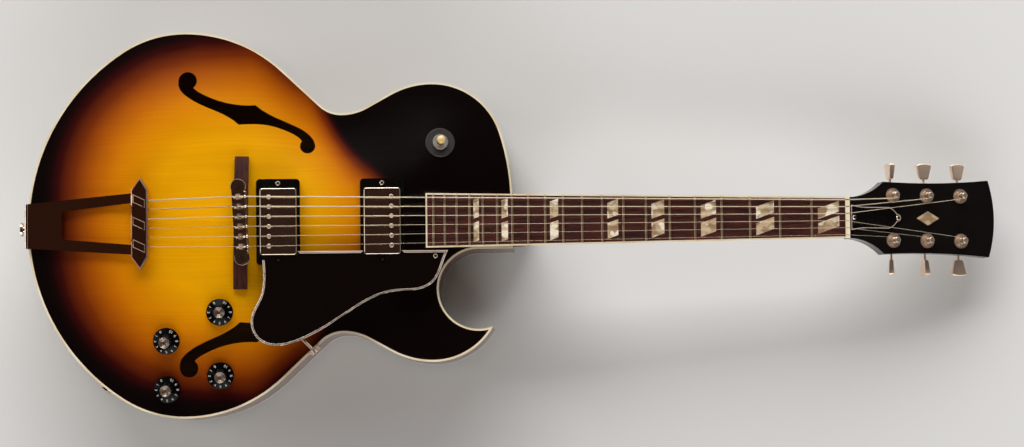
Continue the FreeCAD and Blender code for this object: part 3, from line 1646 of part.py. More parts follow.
def switch_ring():
    place = switch_seat()
    edge = switch_ring_height / 2
    ring = turned([(switch_hole_radius, -plate_thickness), (switch_ring_radius, -plate_thickness),
                   (switch_ring_radius, edge), (switch_ring_radius - edge, switch_ring_height),
                   (switch_hole_radius, switch_ring_height)])
    return placed(ring, place).cut(under_top)


def switch_body():
    top = switch_ring_height + switch_nut_height
    high = -plate_thickness - switch_gap
    collar = turned([(switch_bore_radius, top), (switch_nut_radius - gear_gap, top),
                     (switch_nut_radius, top - gear_gap), (switch_nut_radius, switch_ring_height),
                     (switch_hole_radius, switch_ring_height), (switch_hole_radius, high),
                     (switch_bore_radius, high)])
    case = centered_box(switch_body_length, switch_body_width, high - switch_body_height, high)
    room = upright(high - 2 * lever_depth, high, switch_bore_radius)
    return placed(collar.fuse(case.cut(room)), switch_seat())


def switch_lever():
    low = -plate_thickness - switch_gap - lever_depth
    tip_low = lever_height - lever_tip_length
    stem = upright(low, tip_low + overrun, lever_radius)
    stem = stem.fuse(Part.makeSphere(switch_bore_radius - running_gap, Vector(0, 0, lever_pivot_z)))
    tip = turned([(lever_radius, tip_low), (lever_tip_root_radius, tip_low),
                  (lever_tip_radius, lever_height - lever_tip_radius), (0, lever_height - lever_tip_radius),
                  (0, tip_low + overrun), (lever_radius, tip_low + overrun)])
    crown = Part.makeSphere(lever_tip_radius, Vector(0, 0, lever_height - lever_tip_radius))
    tip = tip.fuse(crown.cut(stem))
    return [placed(stem, switch_seat()), placed(tip, switch_seat())]


def nodes():
    parts = {
        "top_plate": top_plate(),
        "back_plate": back_plate(),
        "rim": rim(),
        "body_bindings": body_bindings(),
        "inner_bracing": inner_bracing(),
        "end_blocks": end_blocks(),
        "neck": neck(),
        "headstock_veneer": headstock_veneer(),
        "fingerboard": fingerboard(),
        "fingerboard_binding": fingerboard_binding(),
        "frets": frets(),
        "pearl_inlays": pearl_inlays(),
        "nut": nut(),
        "truss_rod": truss_rod(),
        "truss_rod_cover": truss_rod_cover(),
        "strings": strings(),
        "string_afterlengths": string_afterlengths(),
        "tuner_housings": tuner_housings(),
        "tuner_bushings": tuner_bushings(),
        "pickup_rings": [pickup_ring(0), pickup_ring(1)],
        "pickup_neck": pickup(0),
        "pickup_bridge": pickup(1),
        "pickguard": pickguard(),
        "pickguard_bracket": pickguard_bracket(),
        "bridge_base": bridge_base(),
        "bridge_studs": bridge_studs(),
        "bridge_frame": bridge_frame(),
        "thumbwheel_bass": thumbwheel(0),
        "thumbwheel_treble": thumbwheel(1),
        "tail_bracket": tail_bracket(),
        "tailpiece": tailpiece(),
        "strap_buttons": strap_buttons(),
        "output_jack": output_jack(),
        "screws": screws(crossed=True),
        "control_pots": control_pots(),
        "switch_ring": switch_ring(),
        "switch_body": switch_body(),
        "switch_lever": switch_lever(),
    }
    for index in range(string_count):
        parts[f"saddle_{index + 1}"] = saddle(index)
        parts[f"tuner_post_{index + 1}"] = tuner_post(index)
        parts[f"tuner_key_{index + 1}"] = tuner_key(index)
    for index in range(len(knob_offset)):
        parts[f"knob_{index + 1}"] = knob(index)
    return parts


def main():
    os.makedirs("parts", exist_ok=True)
    for name, solids in nodes().items():
        shape = Part.makeCompound(solids) if isinstance(solids, list) else solids
        shape.exportStep(f"parts/{name}.step")


if __name__ == "__main__":
    main()
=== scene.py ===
import json
import math

import bpy
from mathutils import Matrix, Vector

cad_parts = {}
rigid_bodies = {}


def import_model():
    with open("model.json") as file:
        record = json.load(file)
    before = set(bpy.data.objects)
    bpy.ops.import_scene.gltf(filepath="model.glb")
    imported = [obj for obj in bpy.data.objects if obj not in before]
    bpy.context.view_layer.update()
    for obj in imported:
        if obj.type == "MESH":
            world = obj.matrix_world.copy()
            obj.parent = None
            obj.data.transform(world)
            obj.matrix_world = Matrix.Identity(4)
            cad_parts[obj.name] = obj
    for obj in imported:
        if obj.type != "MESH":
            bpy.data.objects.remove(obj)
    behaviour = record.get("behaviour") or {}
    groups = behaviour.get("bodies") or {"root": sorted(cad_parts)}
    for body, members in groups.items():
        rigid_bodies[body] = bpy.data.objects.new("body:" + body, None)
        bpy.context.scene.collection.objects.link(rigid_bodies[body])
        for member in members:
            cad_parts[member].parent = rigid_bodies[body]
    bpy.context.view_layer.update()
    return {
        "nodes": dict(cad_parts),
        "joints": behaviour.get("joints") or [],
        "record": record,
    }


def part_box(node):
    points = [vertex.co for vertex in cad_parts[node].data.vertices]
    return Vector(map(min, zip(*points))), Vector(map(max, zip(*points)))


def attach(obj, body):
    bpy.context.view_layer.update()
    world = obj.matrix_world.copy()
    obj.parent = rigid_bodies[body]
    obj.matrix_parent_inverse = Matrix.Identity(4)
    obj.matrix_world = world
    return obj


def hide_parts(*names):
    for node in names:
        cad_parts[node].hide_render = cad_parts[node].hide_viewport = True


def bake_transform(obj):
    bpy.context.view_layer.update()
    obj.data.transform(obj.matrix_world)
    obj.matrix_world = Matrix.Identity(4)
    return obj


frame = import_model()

nodes = frame["nodes"]
joints = {joint["name"]: joint for joint in frame["joints"]}
print("frame loaded with", len(nodes), "nodes")


# a shader value that can be used in plain sums
class Feed:
    def __init__(self, finish, socket):
        self.finish = finish
        self.socket = socket

    def sum(self, operation, first, second):
        return self.finish.node("Math", {"operation": operation}, {0: first, 1: second})

    def __add__(self, other):
        return self.sum("ADD", self, other)

    def __radd__(self, other):
        return self.sum("ADD", other, self)

    def __sub__(self, other):
        return self.sum("SUBTRACT", self, other)

    def __rsub__(self, other):
        return self.sum("SUBTRACT", other, self)

    def __mul__(self, other):
        return self.sum("MULTIPLY", self, other)

    def __rmul__(self, other):
        return self.sum("MULTIPLY", other, self)

    def __truediv__(self, other):
        return self.sum("DIVIDE", self, other)

    def __rtruediv__(self, other):
        return self.sum("DIVIDE", other, self)

    def __pow__(self, other):
        return self.sum("POWER", self, other)

    def __rpow__(self, other):
        return self.sum("POWER", other, self)

    def __abs__(self):
        return self.sum("ABSOLUTE", self, 0.0)

    def sine(self):
        return self.sum("SINE", self, 0.0)


# one material being put together from nodes
class Finish:
    def __init__(self, name):
        self.material = bpy.data.materials.new(name)
        self.material.use_nodes = True
        self.tree = self.material.node_tree
        self.tree.nodes.clear()
        self.place = self.node("TexCoord", {}, {}, "Object")

    def node(self, kind, settings, inputs, output=0):
        made = self.tree.nodes.new("ShaderNode" + kind)
        for key, value in settings.items():
            if key == "stops":
                self.setStops(made.color_ramp, value)
            else:
                setattr(made, key, value)
        for key, value in inputs.items():
            if isinstance(value, Feed):
                self.tree.links.new(value.socket, made.inputs[key])
            else:
                made.inputs[key].default_value = value
        return Feed(self, made.outputs[output])

    def setStops(self, ramp, stops):
        while len(ramp.elements) < len(stops):
            ramp.elements.new(1.0)
        for element, (spot, shade) in zip(ramp.elements, stops):
            element.position = spot
            element.color = shade

    def axis(self, letter):
        return self.node("SeparateXYZ", {}, {0: self.place}, letter)

    def stretched(self, scale):
        return self.node("VectorMath", {"operation": "MULTIPLY"}, {0: self.place, 1: scale})

    def noise(self, scale, detail=3.0, rough=0.5):
        inputs = {"Vector": self.stretched(scale), "Scale": 1.0, "Detail": detail, "Roughness": rough}
        return self.node("TexNoise", {}, inputs)

    def ramp(self, factor, stops):
        return self.node("ValToRGB", {"stops": stops}, {0: factor})

    def between(self, value, low, high, start=0.0, end=1.0):
        settings = {"interpolation_type": "SMOOTHSTEP"}
        return self.node("MapRange", settings, {0: value, 1: low, 2: high, 3: start, 4: end})

    def mix(self, factor, first, second, blend="MIX"):
        settings = {"data_type": "RGBA", "blend_type": blend}
        return self.node("Mix", settings, {0: factor, 6: first, 7: second}, 2)

    def grey(self, value):
        return self.node("CombineColor", {}, {0: value, 1: value, 2: value})

    def bump(self, height, distance, strength):
        inputs = {"Height": height, "Distance": distance, "Strength": strength}
        return self.node("Bump", {}, inputs, "Normal")

    def surface(self, inputs):
        shader = self.node("BsdfPrincipled", {}, inputs)
        self.close(shader, "OutputMaterial")
        return self.material

    def close(self, shader, kind):
        end = self.tree.nodes.new("ShaderNode" + kind)
        self.tree.links.new(shader.socket, end.inputs["Surface"])


# the room around the object, built from nodes in the same way
class Surroundings(Finish):
    def __init__(self, name):
        world = bpy.data.worlds.new(name)
        bpy.context.scene.world = world
        world.use_nodes = True
        self.tree = world.node_tree
        self.tree.nodes.clear()
        self.place = self.node("TexCoord", {}, {}, "Generated")


# a colour as picked, 0 to 255, made linear
def paint(red, green, blue):
    shades = [value / 255 for value in (red, green, blue)]
    linear = [((value + 0.055) / 1.055) ** 2.4 if value > 0.04045 else value / 12.92 for value in shades]
    return (*linear, 1.0)


lacquer = {"Roughness": 0.32, "Specular IOR Level": 0.15, "Coat Weight": 0.65, "Coat Roughness": 0.05}

topBurst = {
    "middle": (-0.28, 0.006),
    "reach": (0.187, 0.182),
    "squareness": 2.4,
    "pinches": ((-0.27, -0.19, 0.28), (-0.21, -0.125, 1.6)),
    "neckEdge": (-0.145, -0.105, 0.13),
    "drift": 0.05,
    "driftScale": (14.0, 14.0, 14.0),
    "span": 1.2,
    "stops": ((0.0, (245, 173, 0)), (0.45, (234, 161, 0)), (0.62, (217, 135, 0)), (0.7, (207, 121, 0)),
              (0.77, (189, 101, 0)), (0.85, (160, 76, 1)), (0.93, (112, 41, 2)), (1.015, (52, 5, 4)),
              (1.06, (20, 2, 2)), (1.1, (5, 1, 1))),
}


# the growth lines wander a little, and broad patches lie across them
topGrain = {
    "lines": (5.0, 560.0, 40.0),
    "patches": (16.0, 44.0, 16.0),
    "swayScale": (7.0, 16.0, 7.0),
    "sway": 0.02,
    "plain": 0.82,
    "lineDepth": 0.2,
    "patchDepth": 0.16,
}


def burstRadius(finish, settings):
    midX, midY = settings["middle"]
    reachX, reachY = settings["reach"]
    power = settings["squareness"]
    along = finish.axis("X")
    pinch = 1.0
    for start, end, amount in settings["pinches"]:
        pinch = pinch + finish.between(along, start, end, 0.0, amount)
    first = abs((along - midX) / reachX) ** power
    second = abs((finish.axis("Y") - midY) * pinch / reachY) ** power
    return (first + second) ** (1 / power)


def burstStops(settings):
    return [(spot / settings["span"], paint(*shade)) for spot, shade in settings["stops"]]


def sunburstTop():
    finish = Finish("sunburstTop")
    drift = finish.noise(topBurst["driftScale"], 2.0) - 0.5
    start, end, amount = topBurst["neckEdge"]
    neckEdge = finish.between(finish.axis("X"), start, end, 0.0, amount)
    radius = burstRadius(finish, topBurst) + neckEdge + topBurst["drift"] * drift
    colour = finish.ramp(radius / topBurst["span"], burstStops(topBurst))
    wander = topGrain["sway"] * (finish.noise(topGrain["swayScale"], 2.0) - 0.5)
    sway = finish.node("CombineXYZ", {}, {1: wander})
    finish.place = finish.node("VectorMath", {"operation": "ADD"}, {0: finish.place, 1: sway})
    grain = finish.noise(topGrain["lines"], 2.0)
    rays = finish.noise(topGrain["patches"], 3.0)
    shade = topGrain["plain"] + topGrain["lineDepth"] * grain + topGrain["patchDepth"] * rays
    colour = finish.mix(1.0, colour, finish.grey(shade), "MULTIPLY")
    return finish.surface({**lacquer, "Base Color": colour, "Roughness": 0.3 + 0.08 * grain})


backBurst = {
    "middle": (-0.27, 0.0),
    "reach": (0.235, 0.2),
    "squareness": 2.3,
    "pinches": ((-0.28, -0.06, 0.5),),
    "span": 1.2,
    "stops": ((0.0, (205, 122, 34)), (0.4, (186, 100, 24)), (0.62, (146, 66, 16)), (0.78, (98, 38, 12)),
              (0.92, (52, 17, 9)), (1.05, (20, 6, 5)), (1.15, (9, 3, 3))),
}


backGrain = {
    "flame": (150.0, 16.0, 10.0),
    "lines": (6.0, 500.0, 60.0),
    "seam": (0.0002, 0.0006),
    "seamShade": 0.82,
}


def sunburstBack():
    finish = Finish("sunburstBack")
    colour = finish.ramp(burstRadius(finish, backBurst) / backBurst["span"], burstStops(backBurst))
    flame = finish.noise(backGrain["flame"], 2.0, 0.4)
    grain = finish.noise(backGrain["lines"], 2.0)
    shade = 0.55 + 0.75 * finish.between(flame, 0.35, 0.66) + 0.14 * (grain - 0.5)
    near, far = backGrain["seam"]
    seam = finish.between(abs(finish.axis("Y")), near, far, backGrain["seamShade"], 1.0)
    colour = finish.mix(0.8, colour, finish.grey(shade), "MULTIPLY")
    colour = finish.mix(1.0, colour, finish.grey(seam), "MULTIPLY")
    return finish.surface({**lacquer, "Base Color": colour, "Roughness": 0.3 + 0.06 * flame})


sideTone = {
    "low": 0.017,
    "high": 0.103,
    "edge": (15, 5, 4),
    "middle": (112, 48, 17),
    "flame": (170.0, 170.0, 12.0),
}


def sideWood():
    finish = Finish("sideWood")
    height = finish.axis("Z")
    middle = (sideTone["low"] + sideTone["high"]) / 2
    half = (sideTone["high"] - sideTone["low"]) / 2
    fade = finish.between(abs(height - middle) / half, 0.15, 1.0, 1.0, 0.0)
    flame = finish.noise(sideTone["flame"], 2.0, 0.4)
    glow = fade * (0.45 + 0.75 * finish.between(flame, 0.35, 0.65))
    colour = finish.mix(glow, paint(*sideTone["edge"]), paint(*sideTone["middle"]))
    return finish.surface({**lacquer, "Base Color": colour, "Roughness": 0.3 + 0.06 * flame})


neckTone = {
    "dark": (20, 7, 5),
    "light": (92, 38, 20),
    "heel": 0.04,
    "head": 0.33,
    "fade": 0.07,
    "grain": (14.0, 380.0, 380.0),
}


def neckWood():
    finish = Finish("neckWood")
    along = finish.axis("X")
    fromHeel = finish.between(along, neckTone["heel"], neckTone["heel"] + neckTone["fade"])
    toHead = finish.between(along, neckTone["head"] - neckTone["fade"], neckTone["head"], 1.0, 0.0)
    grain = finish.noise(neckTone["grain"], 4.0)
    glow = fromHeel * toHead * (0.55 + 0.6 * grain)
    colour = finish.mix(glow, paint(*neckTone["dark"]), paint(*neckTone["light"]))
    return finish.surface({**lacquer, "Base Color": colour, "Roughness": 0.3 + 0.08 * grain})


rawTone = {"light": (206, 166, 112), "dark": (164, 118, 70), "grain": (9.0, 420.0, 90.0)}


def rawWood():
    finish = Finish("rawWood")
    grain = finish.noise(rawTone["grain"], 3.0)
    colour = finish.mix(grain, paint(*rawTone["dark"]), paint(*rawTone["light"]))
    return finish.surface({"Base Color": colour, "Roughness": 0.6 + 0.2 * grain})


creamTone = {
    "pale": (246, 232, 202),
    "aged": (222, 194, 146),
    "age": (30.0, 30.0, 30.0),
    "fine": (900.0, 900.0, 900.0),
}


def creamBinding():
    finish = Finish("creamBinding")
    age = finish.noise(creamTone["age"], 3.0)
    fine = finish.noise(creamTone["fine"], 2.0)
    amount = finish.between(age, 0.3, 0.75) * 0.7 + 0.12 * fine
    colour = finish.mix(amount, paint(*creamTone["pale"]), paint(*creamTone["aged"]))
    return finish.surface({"Base Color": colour, "Roughness": 0.26 + 0.14 * age, "Coat Weight": 0.4,
                           "Coat Roughness": 0.08})


roseTone = {"dark": (34, 12, 9), "mid": (78, 33, 23), "red": (104, 46, 30)}


def rosewood(name, scale):
    finish = Finish(name)
    bands = finish.noise(scale, 4.0, 0.6)
    pores = finish.noise([value * 5 for value in scale], 2.0, 0.6)
    streak = finish.between(bands, 0.3, 0.7)
    colour = finish.mix(streak, paint(*roseTone["dark"]), paint(*roseTone["mid"]))
    colour = finish.mix(finish.between(pores, 0.52, 0.72) * 0.55, colour, paint(*roseTone["red"]))
    dents = finish.bump(pores, 0.00008, 0.6)
    return finish.surface({"Base Color": colour, "Roughness": 0.42 + 0.2 * pores, "Normal": dents,
                           "Specular IOR Level": 0.3})


pearlTone = {
    "shade": (162, 133, 101),
    "cream": (214, 188, 151),
    "flash": (255, 243, 218),
    "cell": (150.0, 150.0, 150.0),
    "drift": (240.0, 420.0, 240.0),
}


def pearl():
    finish = Finish("pearl")
    spots = {"Vector": finish.stretched(pearlTone["cell"]), "Scale": 1.0, "Smoothness": 0.7}
    clouds = finish.node("TexVoronoi", {"feature": "SMOOTH_F1"}, spots, "Color")
    tilt = finish.node("SeparateColor", {}, {0: clouds}, 0)
    gleam = finish.node("SeparateColor", {}, {0: clouds}, 1)
    drift = finish.noise(pearlTone["drift"], 4.0, 0.6)
    body = finish.between(tilt + 0.3 * (drift - 0.5), 0.15, 0.75)
    colour = finish.mix(body, paint(*pearlTone["shade"]), paint(*pearlTone["cream"]))
    colour = finish.mix(finish.between(gleam, 0.5, 0.85), colour, paint(*pearlTone["flash"]))
    return finish.surface({"Base Color": colour, "Roughness": 0.18 + 0.12 * drift, "Coat Weight": 0.5,
                           "Coat Roughness": 0.06})


boneTone = {"pale": (252, 240, 212), "warm": (234, 212, 172), "fleck": (260.0, 90.0, 260.0)}


def bone():
    finish = Finish("bone")
    fleck = finish.noise(boneTone["fleck"], 3.0)
    colour = finish.mix(fleck, paint(*boneTone["pale"]), paint(*boneTone["warm"]))
    return finish.surface({"Base Color": colour, "Roughness": 0.34 + 0.12 * fleck})


# metals share one recipe: a tint, a base gloss and how far smudges dull it
metalTones = {
    "nickel": {"bright": (222, 208, 192), "dull": (200, 184, 166), "gloss": 0.13, "smudge": 0.07},
    "tailNickel": {"bright": (220, 190, 166), "dull": (204, 172, 148), "gloss": 0.05, "smudge": 0.05},
    "tunerNickel": {"bright": (240, 218, 198), "dull": (222, 198, 176), "gloss": 0.36, "smudge": 0.05},
    "keyNickel": {"bright": (246, 224, 204), "dull": (230, 206, 184), "gloss": 0.5, "smudge": 0.05},
    "fretMetal": {"bright": (222, 198, 164), "dull": (190, 162, 126), "gloss": 0.34, "smudge": 0.1},
    "plainMetal": {"bright": (176, 174, 168), "dull": (140, 136, 128), "gloss": 0.38, "smudge": 0.2},
}


def metal(name):
    tone = metalTones[name]
    finish = Finish(name)
    smudge = finish.noise((65.0, 65.0, 65.0), 4.0, 0.6)
    fine = finish.noise((1500.0, 1500.0, 1500.0), 2.0)
    wear = finish.between(smudge, 0.35, 0.75)
    colour = finish.mix(wear, paint(*tone["bright"]), paint(*tone["dull"]))
    rough = tone["gloss"] + tone["smudge"] * wear + 0.05 * fine
    return finish.surface({"Base Color": colour, "Roughness": rough, "Metallic": 1.0})


stringTone = {
    "bright": (214, 200, 176),
    "dark": (120, 104, 82),
    "patch": (45.0, 200.0, 45.0),
    "turn": 0.00032,
    "ribs": 0.00003,
}


def stringMetal():
    finish = Finish("stringMetal")
    wave = (finish.axis("X") * (2 * math.pi / stringTone["turn"])).sine()
    patch = finish.noise(stringTone["patch"], 3.0)
    # dirt patches darken the string at random, and the sine of the winding ribs adds painted light and
    # shade across each turn
    dirtAndRibShade = 0.2 + 0.3 * patch + 0.12 * wave
    colour = finish.mix(dirtAndRibShade, paint(*stringTone["bright"]), paint(*stringTone["dark"]))
    ribs = finish.bump(wave, stringTone["ribs"], 0.5)
    return finish.surface({"Base Color": colour, "Roughness": 0.26 + 0.14 * patch, "Metallic": 1.0,
                           "Normal": ribs})


plasticTones = {
    "blackPlastic": {"deep": (7, 6, 6), "worn": (26, 23, 22), "gloss": 0.16, "wear": 0.2,
                     "shine": 0.4},
    "guardPlastic": {"deep": (11, 6, 5), "worn": (28, 15, 11), "gloss": 0.1, "wear": 0.14,
                     "shine": 0.4},
    "knobPlastic": {"deep": (6, 5, 5), "worn": (18, 16, 15), "gloss": 0.13, "wear": 0.12,
                    "shine": 0.05},
    "ringPlastic": {"deep": (44, 38, 35), "worn": (64, 56, 51), "gloss": 0.42, "wear": 0.2,
                    "shine": 0.4},
    "palePlastic": {"deep": (208, 188, 172), "worn": (186, 163, 144), "gloss": 0.3, "wear": 0.2,
                    "shine": 0.4},
}


def plastic(name):
    tone = plasticTones[name]
    finish = Finish(name)
    cloud = finish.noise((55.0, 55.0, 55.0), 4.0, 0.6)
    scuff = finish.noise((140.0, 900.0, 300.0), 3.0, 0.65)
    wear = finish.between(scuff, 0.55, 0.8) * cloud
    colour = finish.mix(wear, paint(*tone["deep"]), paint(*tone["worn"]))
    return finish.surface({"Base Color": colour, "Roughness": tone["gloss"] + tone["wear"] * cloud,
                           "Specular IOR Level": tone["shine"]})


headTone = {"deep": (7, 6, 6), "haze": (17, 14, 13), "drift": (24.0, 60.0, 24.0)}


def blackLacquer():
    finish = Finish("blackLacquer")
    haze = finish.noise(headTone["drift"], 4.0)
    colour = finish.mix(haze, paint(*headTone["deep"]), paint(*headTone["haze"]))
    return finish.surface({**lacquer, "Base Color": colour, "Roughness": 0.3 + 0.1 * haze})


tipTone = {"clear": (247, 221, 160), "deep": (214, 168, 96), "cloud": (320.0, 320.0, 320.0)}


def amberTip():
    finish = Finish("amberTip")
    cloud = finish.noise(tipTone["cloud"], 3.0)
    colour = finish.mix(cloud, paint(*tipTone["clear"]), paint(*tipTone["deep"]))
    return finish.surface({"Base Color": colour, "Roughness": 0.18 + 0.08 * cloud, "Coat Weight": 0.5})


inkTone = {"fresh": (232, 228, 218), "rubbed": (176, 170, 158), "rub": (700.0, 700.0, 700.0)}


def dialInk():
    finish = Finish("dialInk")
    rub = finish.noise(inkTone["rub"], 3.0)
    colour = finish.mix(rub, paint(*inkTone["fresh"]), paint(*inkTone["rubbed"]))
    return finish.surface({"Base Color": colour, "Roughness": 0.4 + 0.15 * rub})


finishes = {
    "sunburst_top": sunburstTop(),
    "sunburst_back": sunburstBack(),
    "side_wood": sideWood(),
    "inside_wood": rawWood(),
    "neck_wood": neckWood(),
    "binding": creamBinding(),
    "rosewood": rosewood("boardRosewood", (16.0, 330.0, 330.0)),
    "pearl": pearl(),
    "bone": bone(),
    "nickel": metal("nickel"),
    "fret_metal": metal("fretMetal"),
    "string_metal": stringMetal(),
    "black_plastic": plastic("blackPlastic"),
    "black_lacquer": blackLacquer(),
    "guard": plastic("guardPlastic"),
    "switch_tip": amberTip(),
    "electric_metal": metal("plainMetal"),
}
bridgeRosewood = rosewood("bridgeRosewood", (330.0, 16.0, 330.0))
tailNickel = metal("tailNickel")
tunerNickel = metal("tunerNickel")
keyNickel = metal("keyNickel")
knobPlastic = plastic("knobPlastic")
ringPlastic = plastic("ringPlastic")
palePlastic = plastic("palePlastic")
inkFinish = dialInk()
print("finishes made:", len(bpy.data.materials))

weld = {"distance": 0.000002, "crease": math.radians(32)}
ownFinish = {
    "bridge_base": bridgeRosewood,
    "tailpiece": tailNickel,
    "pickguard_bracket": tunerNickel,
    "switch_ring": ringPlastic,
    **{name: tunerNickel for name in nodes if name.startswith(("tuner_", "saddle_"))},
    **{name: keyNickel for name in nodes if name.startswith("tuner_key_")},
    **{name: knobPlastic for name in nodes if name.startswith("knob_")},
}
ringScrews = {"nearest": 0.01, "furthest": 0.024, "aside": 0.034}
poleRise = 0.00085
plateTilt = 0.5        # the faces of a plate that lean further than this are its sides
pickups = ("pickup_neck", "pickup_bridge")
pickupMiddles = [sum(corner.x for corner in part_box(name)) / 2 for name in pickups]


def smoothNode(node):
    node.data.polygons.foreach_set("use_smooth", [True] * len(node.data.polygons))
    join = node.modifiers.new("join", "WELD")
    join.merge_threshold = weld["distance"]
    crease = node.modifiers.new("crease", "EDGE_SPLIT")
    crease.split_angle = weld["crease"]


def dressNodes():
    for row in frame["record"]["subparts"]:
        node = nodes[row["node"]]
        node.data.materials.clear()
        node.data.materials.append(ownFinish.get(row["node"], finishes[row["material_slot"]]))
        smoothNode(node)


# give the faces that pass a test another finish
def repaint(node, material, test):
    node.data.materials.append(material)
    spare = len(node.data.materials) - 1
    for face in node.data.polygons:
        if test(face):
            face.material_index = spare


# the four screws at the corners of each pickup ring
def isRingScrew(face):
    if abs(face.center.y) < ringScrews["aside"]:
        return False
    nearest, furthest = ringScrews["nearest"], ringScrews["furthest"]
    return any(nearest < abs(face.center.x - middle) < furthest for middle in pickupMiddles)


# the pole screws are all that stands this near to the highest point of a pickup
def isPole(name):
    up = Vector(joints[f"height_{name}"]["axis"])
    level = max(vertex.co.dot(up) for vertex in nodes[name].data.vertices) - poleRise
    return lambda face: face.center.dot(up) > level


dressNodes()
repaint(nodes["top_plate"], finishes["inside_wood"], lambda face: face.normal.z < -plateTilt)
repaint(nodes["top_plate"], finishes["black_lacquer"], lambda face: abs(face.normal.z) <= plateTilt)
repaint(nodes["back_plate"], finishes["inside_wood"], lambda face: face.normal.z > plateTilt)
repaint(nodes["screws"], finishes["black_plastic"], isRingScrew)
for name in pickups:
    repaint(nodes[name], tunerNickel, isPole(name))
print("frame nodes dressed")


def deselect():
    if bpy.context.object and bpy.context.object.mode != "OBJECT":
        bpy.ops.object.mode_set(mode="OBJECT")
    bpy.ops.object.select_all(action="DESELECT")


smoothAngle = math.radians(35)


# bake the place into the mesh, name it, and hang it on its body
def settle(piece, name, materials, body):
    deselect()
    piece.select_set(True)
    bpy.context.view_layer.objects.active = piece
    bpy.ops.object.transform_apply(location=True, rotation=True, scale=True)
    bpy.ops.object.shade_smooth_by_angle(angle=smoothAngle)
    piece.name = name
    piece.data.name = name
    for index, material in enumerate(materials):
        if index == len(piece.data.materials):
            piece.data.materials.append(None)
        piece.data.materials[index] = material
    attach(piece, body)


# a frame with its third axis along a joint, and its first towards the head
def jointFrame(name):
    spot = Vector(joints[name]["pos_m"])
    up = Vector(joints[name]["axis"]).normalized()
    along = Vector((up.z, 0.0, -up.x)).normalized()
    side = up.cross(along)
    return Matrix.Translation(spot) @ Matrix((along, side, up)).transposed().to_4x4()


winding = {
    "radii": (0.000585, 0.000455, 0.00033, 0.000215, 0.000165, 0.000127),
    "stringOfPost": (0, 1, 2, 5, 4, 3),
    "waist": 0.0025,
    "gap": 0.0003,
    "level": 0.009,
    "floor": 0.0066,
    "spacing": 2.15,
    "mostTurns": 5,
    "sides": 10,
    "steps": 32,
}


# the turns of string on one tuner post, screwed down from where the string arrives
def postWinding(post):
    radius = winding["radii"][winding["stringOfPost"][post]]
    side = 1 if post < 3 else -1
    reach = winding["waist"] + winding["gap"] + radius
    pitch = winding["spacing"] * radius
    room = int((winding["level"] - winding["floor"]) / pitch)
    turns = min(winding["mostTurns"], max(1, room))
    deselect()
    bpy.ops.mesh.primitive_circle_add(vertices=winding["sides"], radius=radius,
                                      location=(0.0, -side * reach, winding["level"]),
                                      rotation=(0.0, math.pi / 2, 0.0))
    coil = bpy.context.object
    bpy.ops.object.transform_apply(location=True, rotation=True, scale=True)
    turn = coil.modifiers.new("turns", "SCREW")
    turn.axis = "Z"
    turn.angle = side * 2 * math.pi
    turn.screw_offset = -pitch
    turn.iterations = turns
    turn.steps = winding["steps"]
    turn.render_steps = winding["steps"]
    bpy.ops.object.modifier_apply(modifier="turns")
    bpy.ops.object.mode_set(mode="EDIT")
    bpy.ops.mesh.select_all(action="SELECT")
    bpy.ops.mesh.remove_doubles(threshold=0.000001)
    bpy.ops.mesh.fill_holes(sides=0)
    bpy.ops.mesh.select_all(action="SELECT")
    bpy.ops.mesh.normals_make_consistent(inside=False)
    bpy.ops.object.mode_set(mode="OBJECT")
    coil.matrix_world = jointFrame(f"wind_post_{post + 1}")
    settle(coil, f"stringTurns{post + 1}", [finishes["string_metal"]], f"tuner_post_{post + 1}")


for post in range(6):
    postWinding(post)
print("string turns wound")

afterStrings = {
    "cuts": 30,
    "longEdge": 0.05,
    "flat": 0.01,
    "smooth": math.radians(50),
    "bend": (0.12, 0.98),        # where the bend starts and ends, as shares of the length
}


# the string ends behind the bridge: a welded copy of their mesh, its long edges cut into short pieces
# and shaded smooth
def makeAfterStrings():
    source = nodes["string_afterlengths"]
    piece = bpy.data.objects.new("afterStrings", source.data.copy())
    bpy.context.scene.collection.objects.link(piece)
    deselect()
    piece.select_set(True)
    bpy.context.view_layer.objects.active = piece
    bpy.ops.object.mode_set(mode="EDIT")
    bpy.ops.mesh.select_all(action="SELECT")
    bpy.ops.mesh.remove_doubles(threshold=weld["distance"])
    bpy.ops.mesh.dissolve_limited(angle_limit=afterStrings["flat"])
    bpy.ops.mesh.select_mode(type="EDGE")
    bpy.ops.mesh.select_all(action="DESELECT")
    bpy.ops.object.mode_set(mode="OBJECT")
    for edge in piece.data.edges:
        ends = [piece.data.vertices[index].co for index in edge.vertices]
        edge.select = (ends[0] - ends[1]).length > afterStrings["longEdge"]
    bpy.ops.object.mode_set(mode="EDIT")
    bpy.ops.mesh.subdivide(number_cuts=afterStrings["cuts"])
    bpy.ops.object.mode_set(mode="OBJECT")
    bpy.ops.object.shade_smooth_by_angle(angle=afterStrings["smooth"])
    piece.data.materials.clear()
    piece.data.materials.append(finishes["string_metal"])
    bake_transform(piece)
    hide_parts("string_afterlengths")


makeAfterStrings()

dial = {
    "lift": 0.0016,
    "edge": 0.0016,
    "skirtHigh": 0.005,
    "skirtRadius": 0.014,
    "stemRadius": 0.0076,
    "ringRadius": 0.0114,
    "digitSize": 0.0042,
    "digitDepth": 0.00012,
    "digitCurves": 4,
    "count": 11,
    "spread": math.radians(300),
    "start": math.radians(210),
    "capRadius": 0.0059,
    "capLow": 0.0157,
}


def dialDigit(number):
    deselect()
    bpy.ops.object.text_add()
    digit = bpy.context.object
    digit.data.body = str(number)
    digit.data.size = dial["digitSize"]
    digit.data.align_x = "CENTER"
    digit.data.align_y = "CENTER"
    digit.data.extrude = dial["digitDepth"]
    digit.data.resolution_u = dial["digitCurves"]
    bpy.ops.object.convert(target="MESH")
    return bpy.context.object


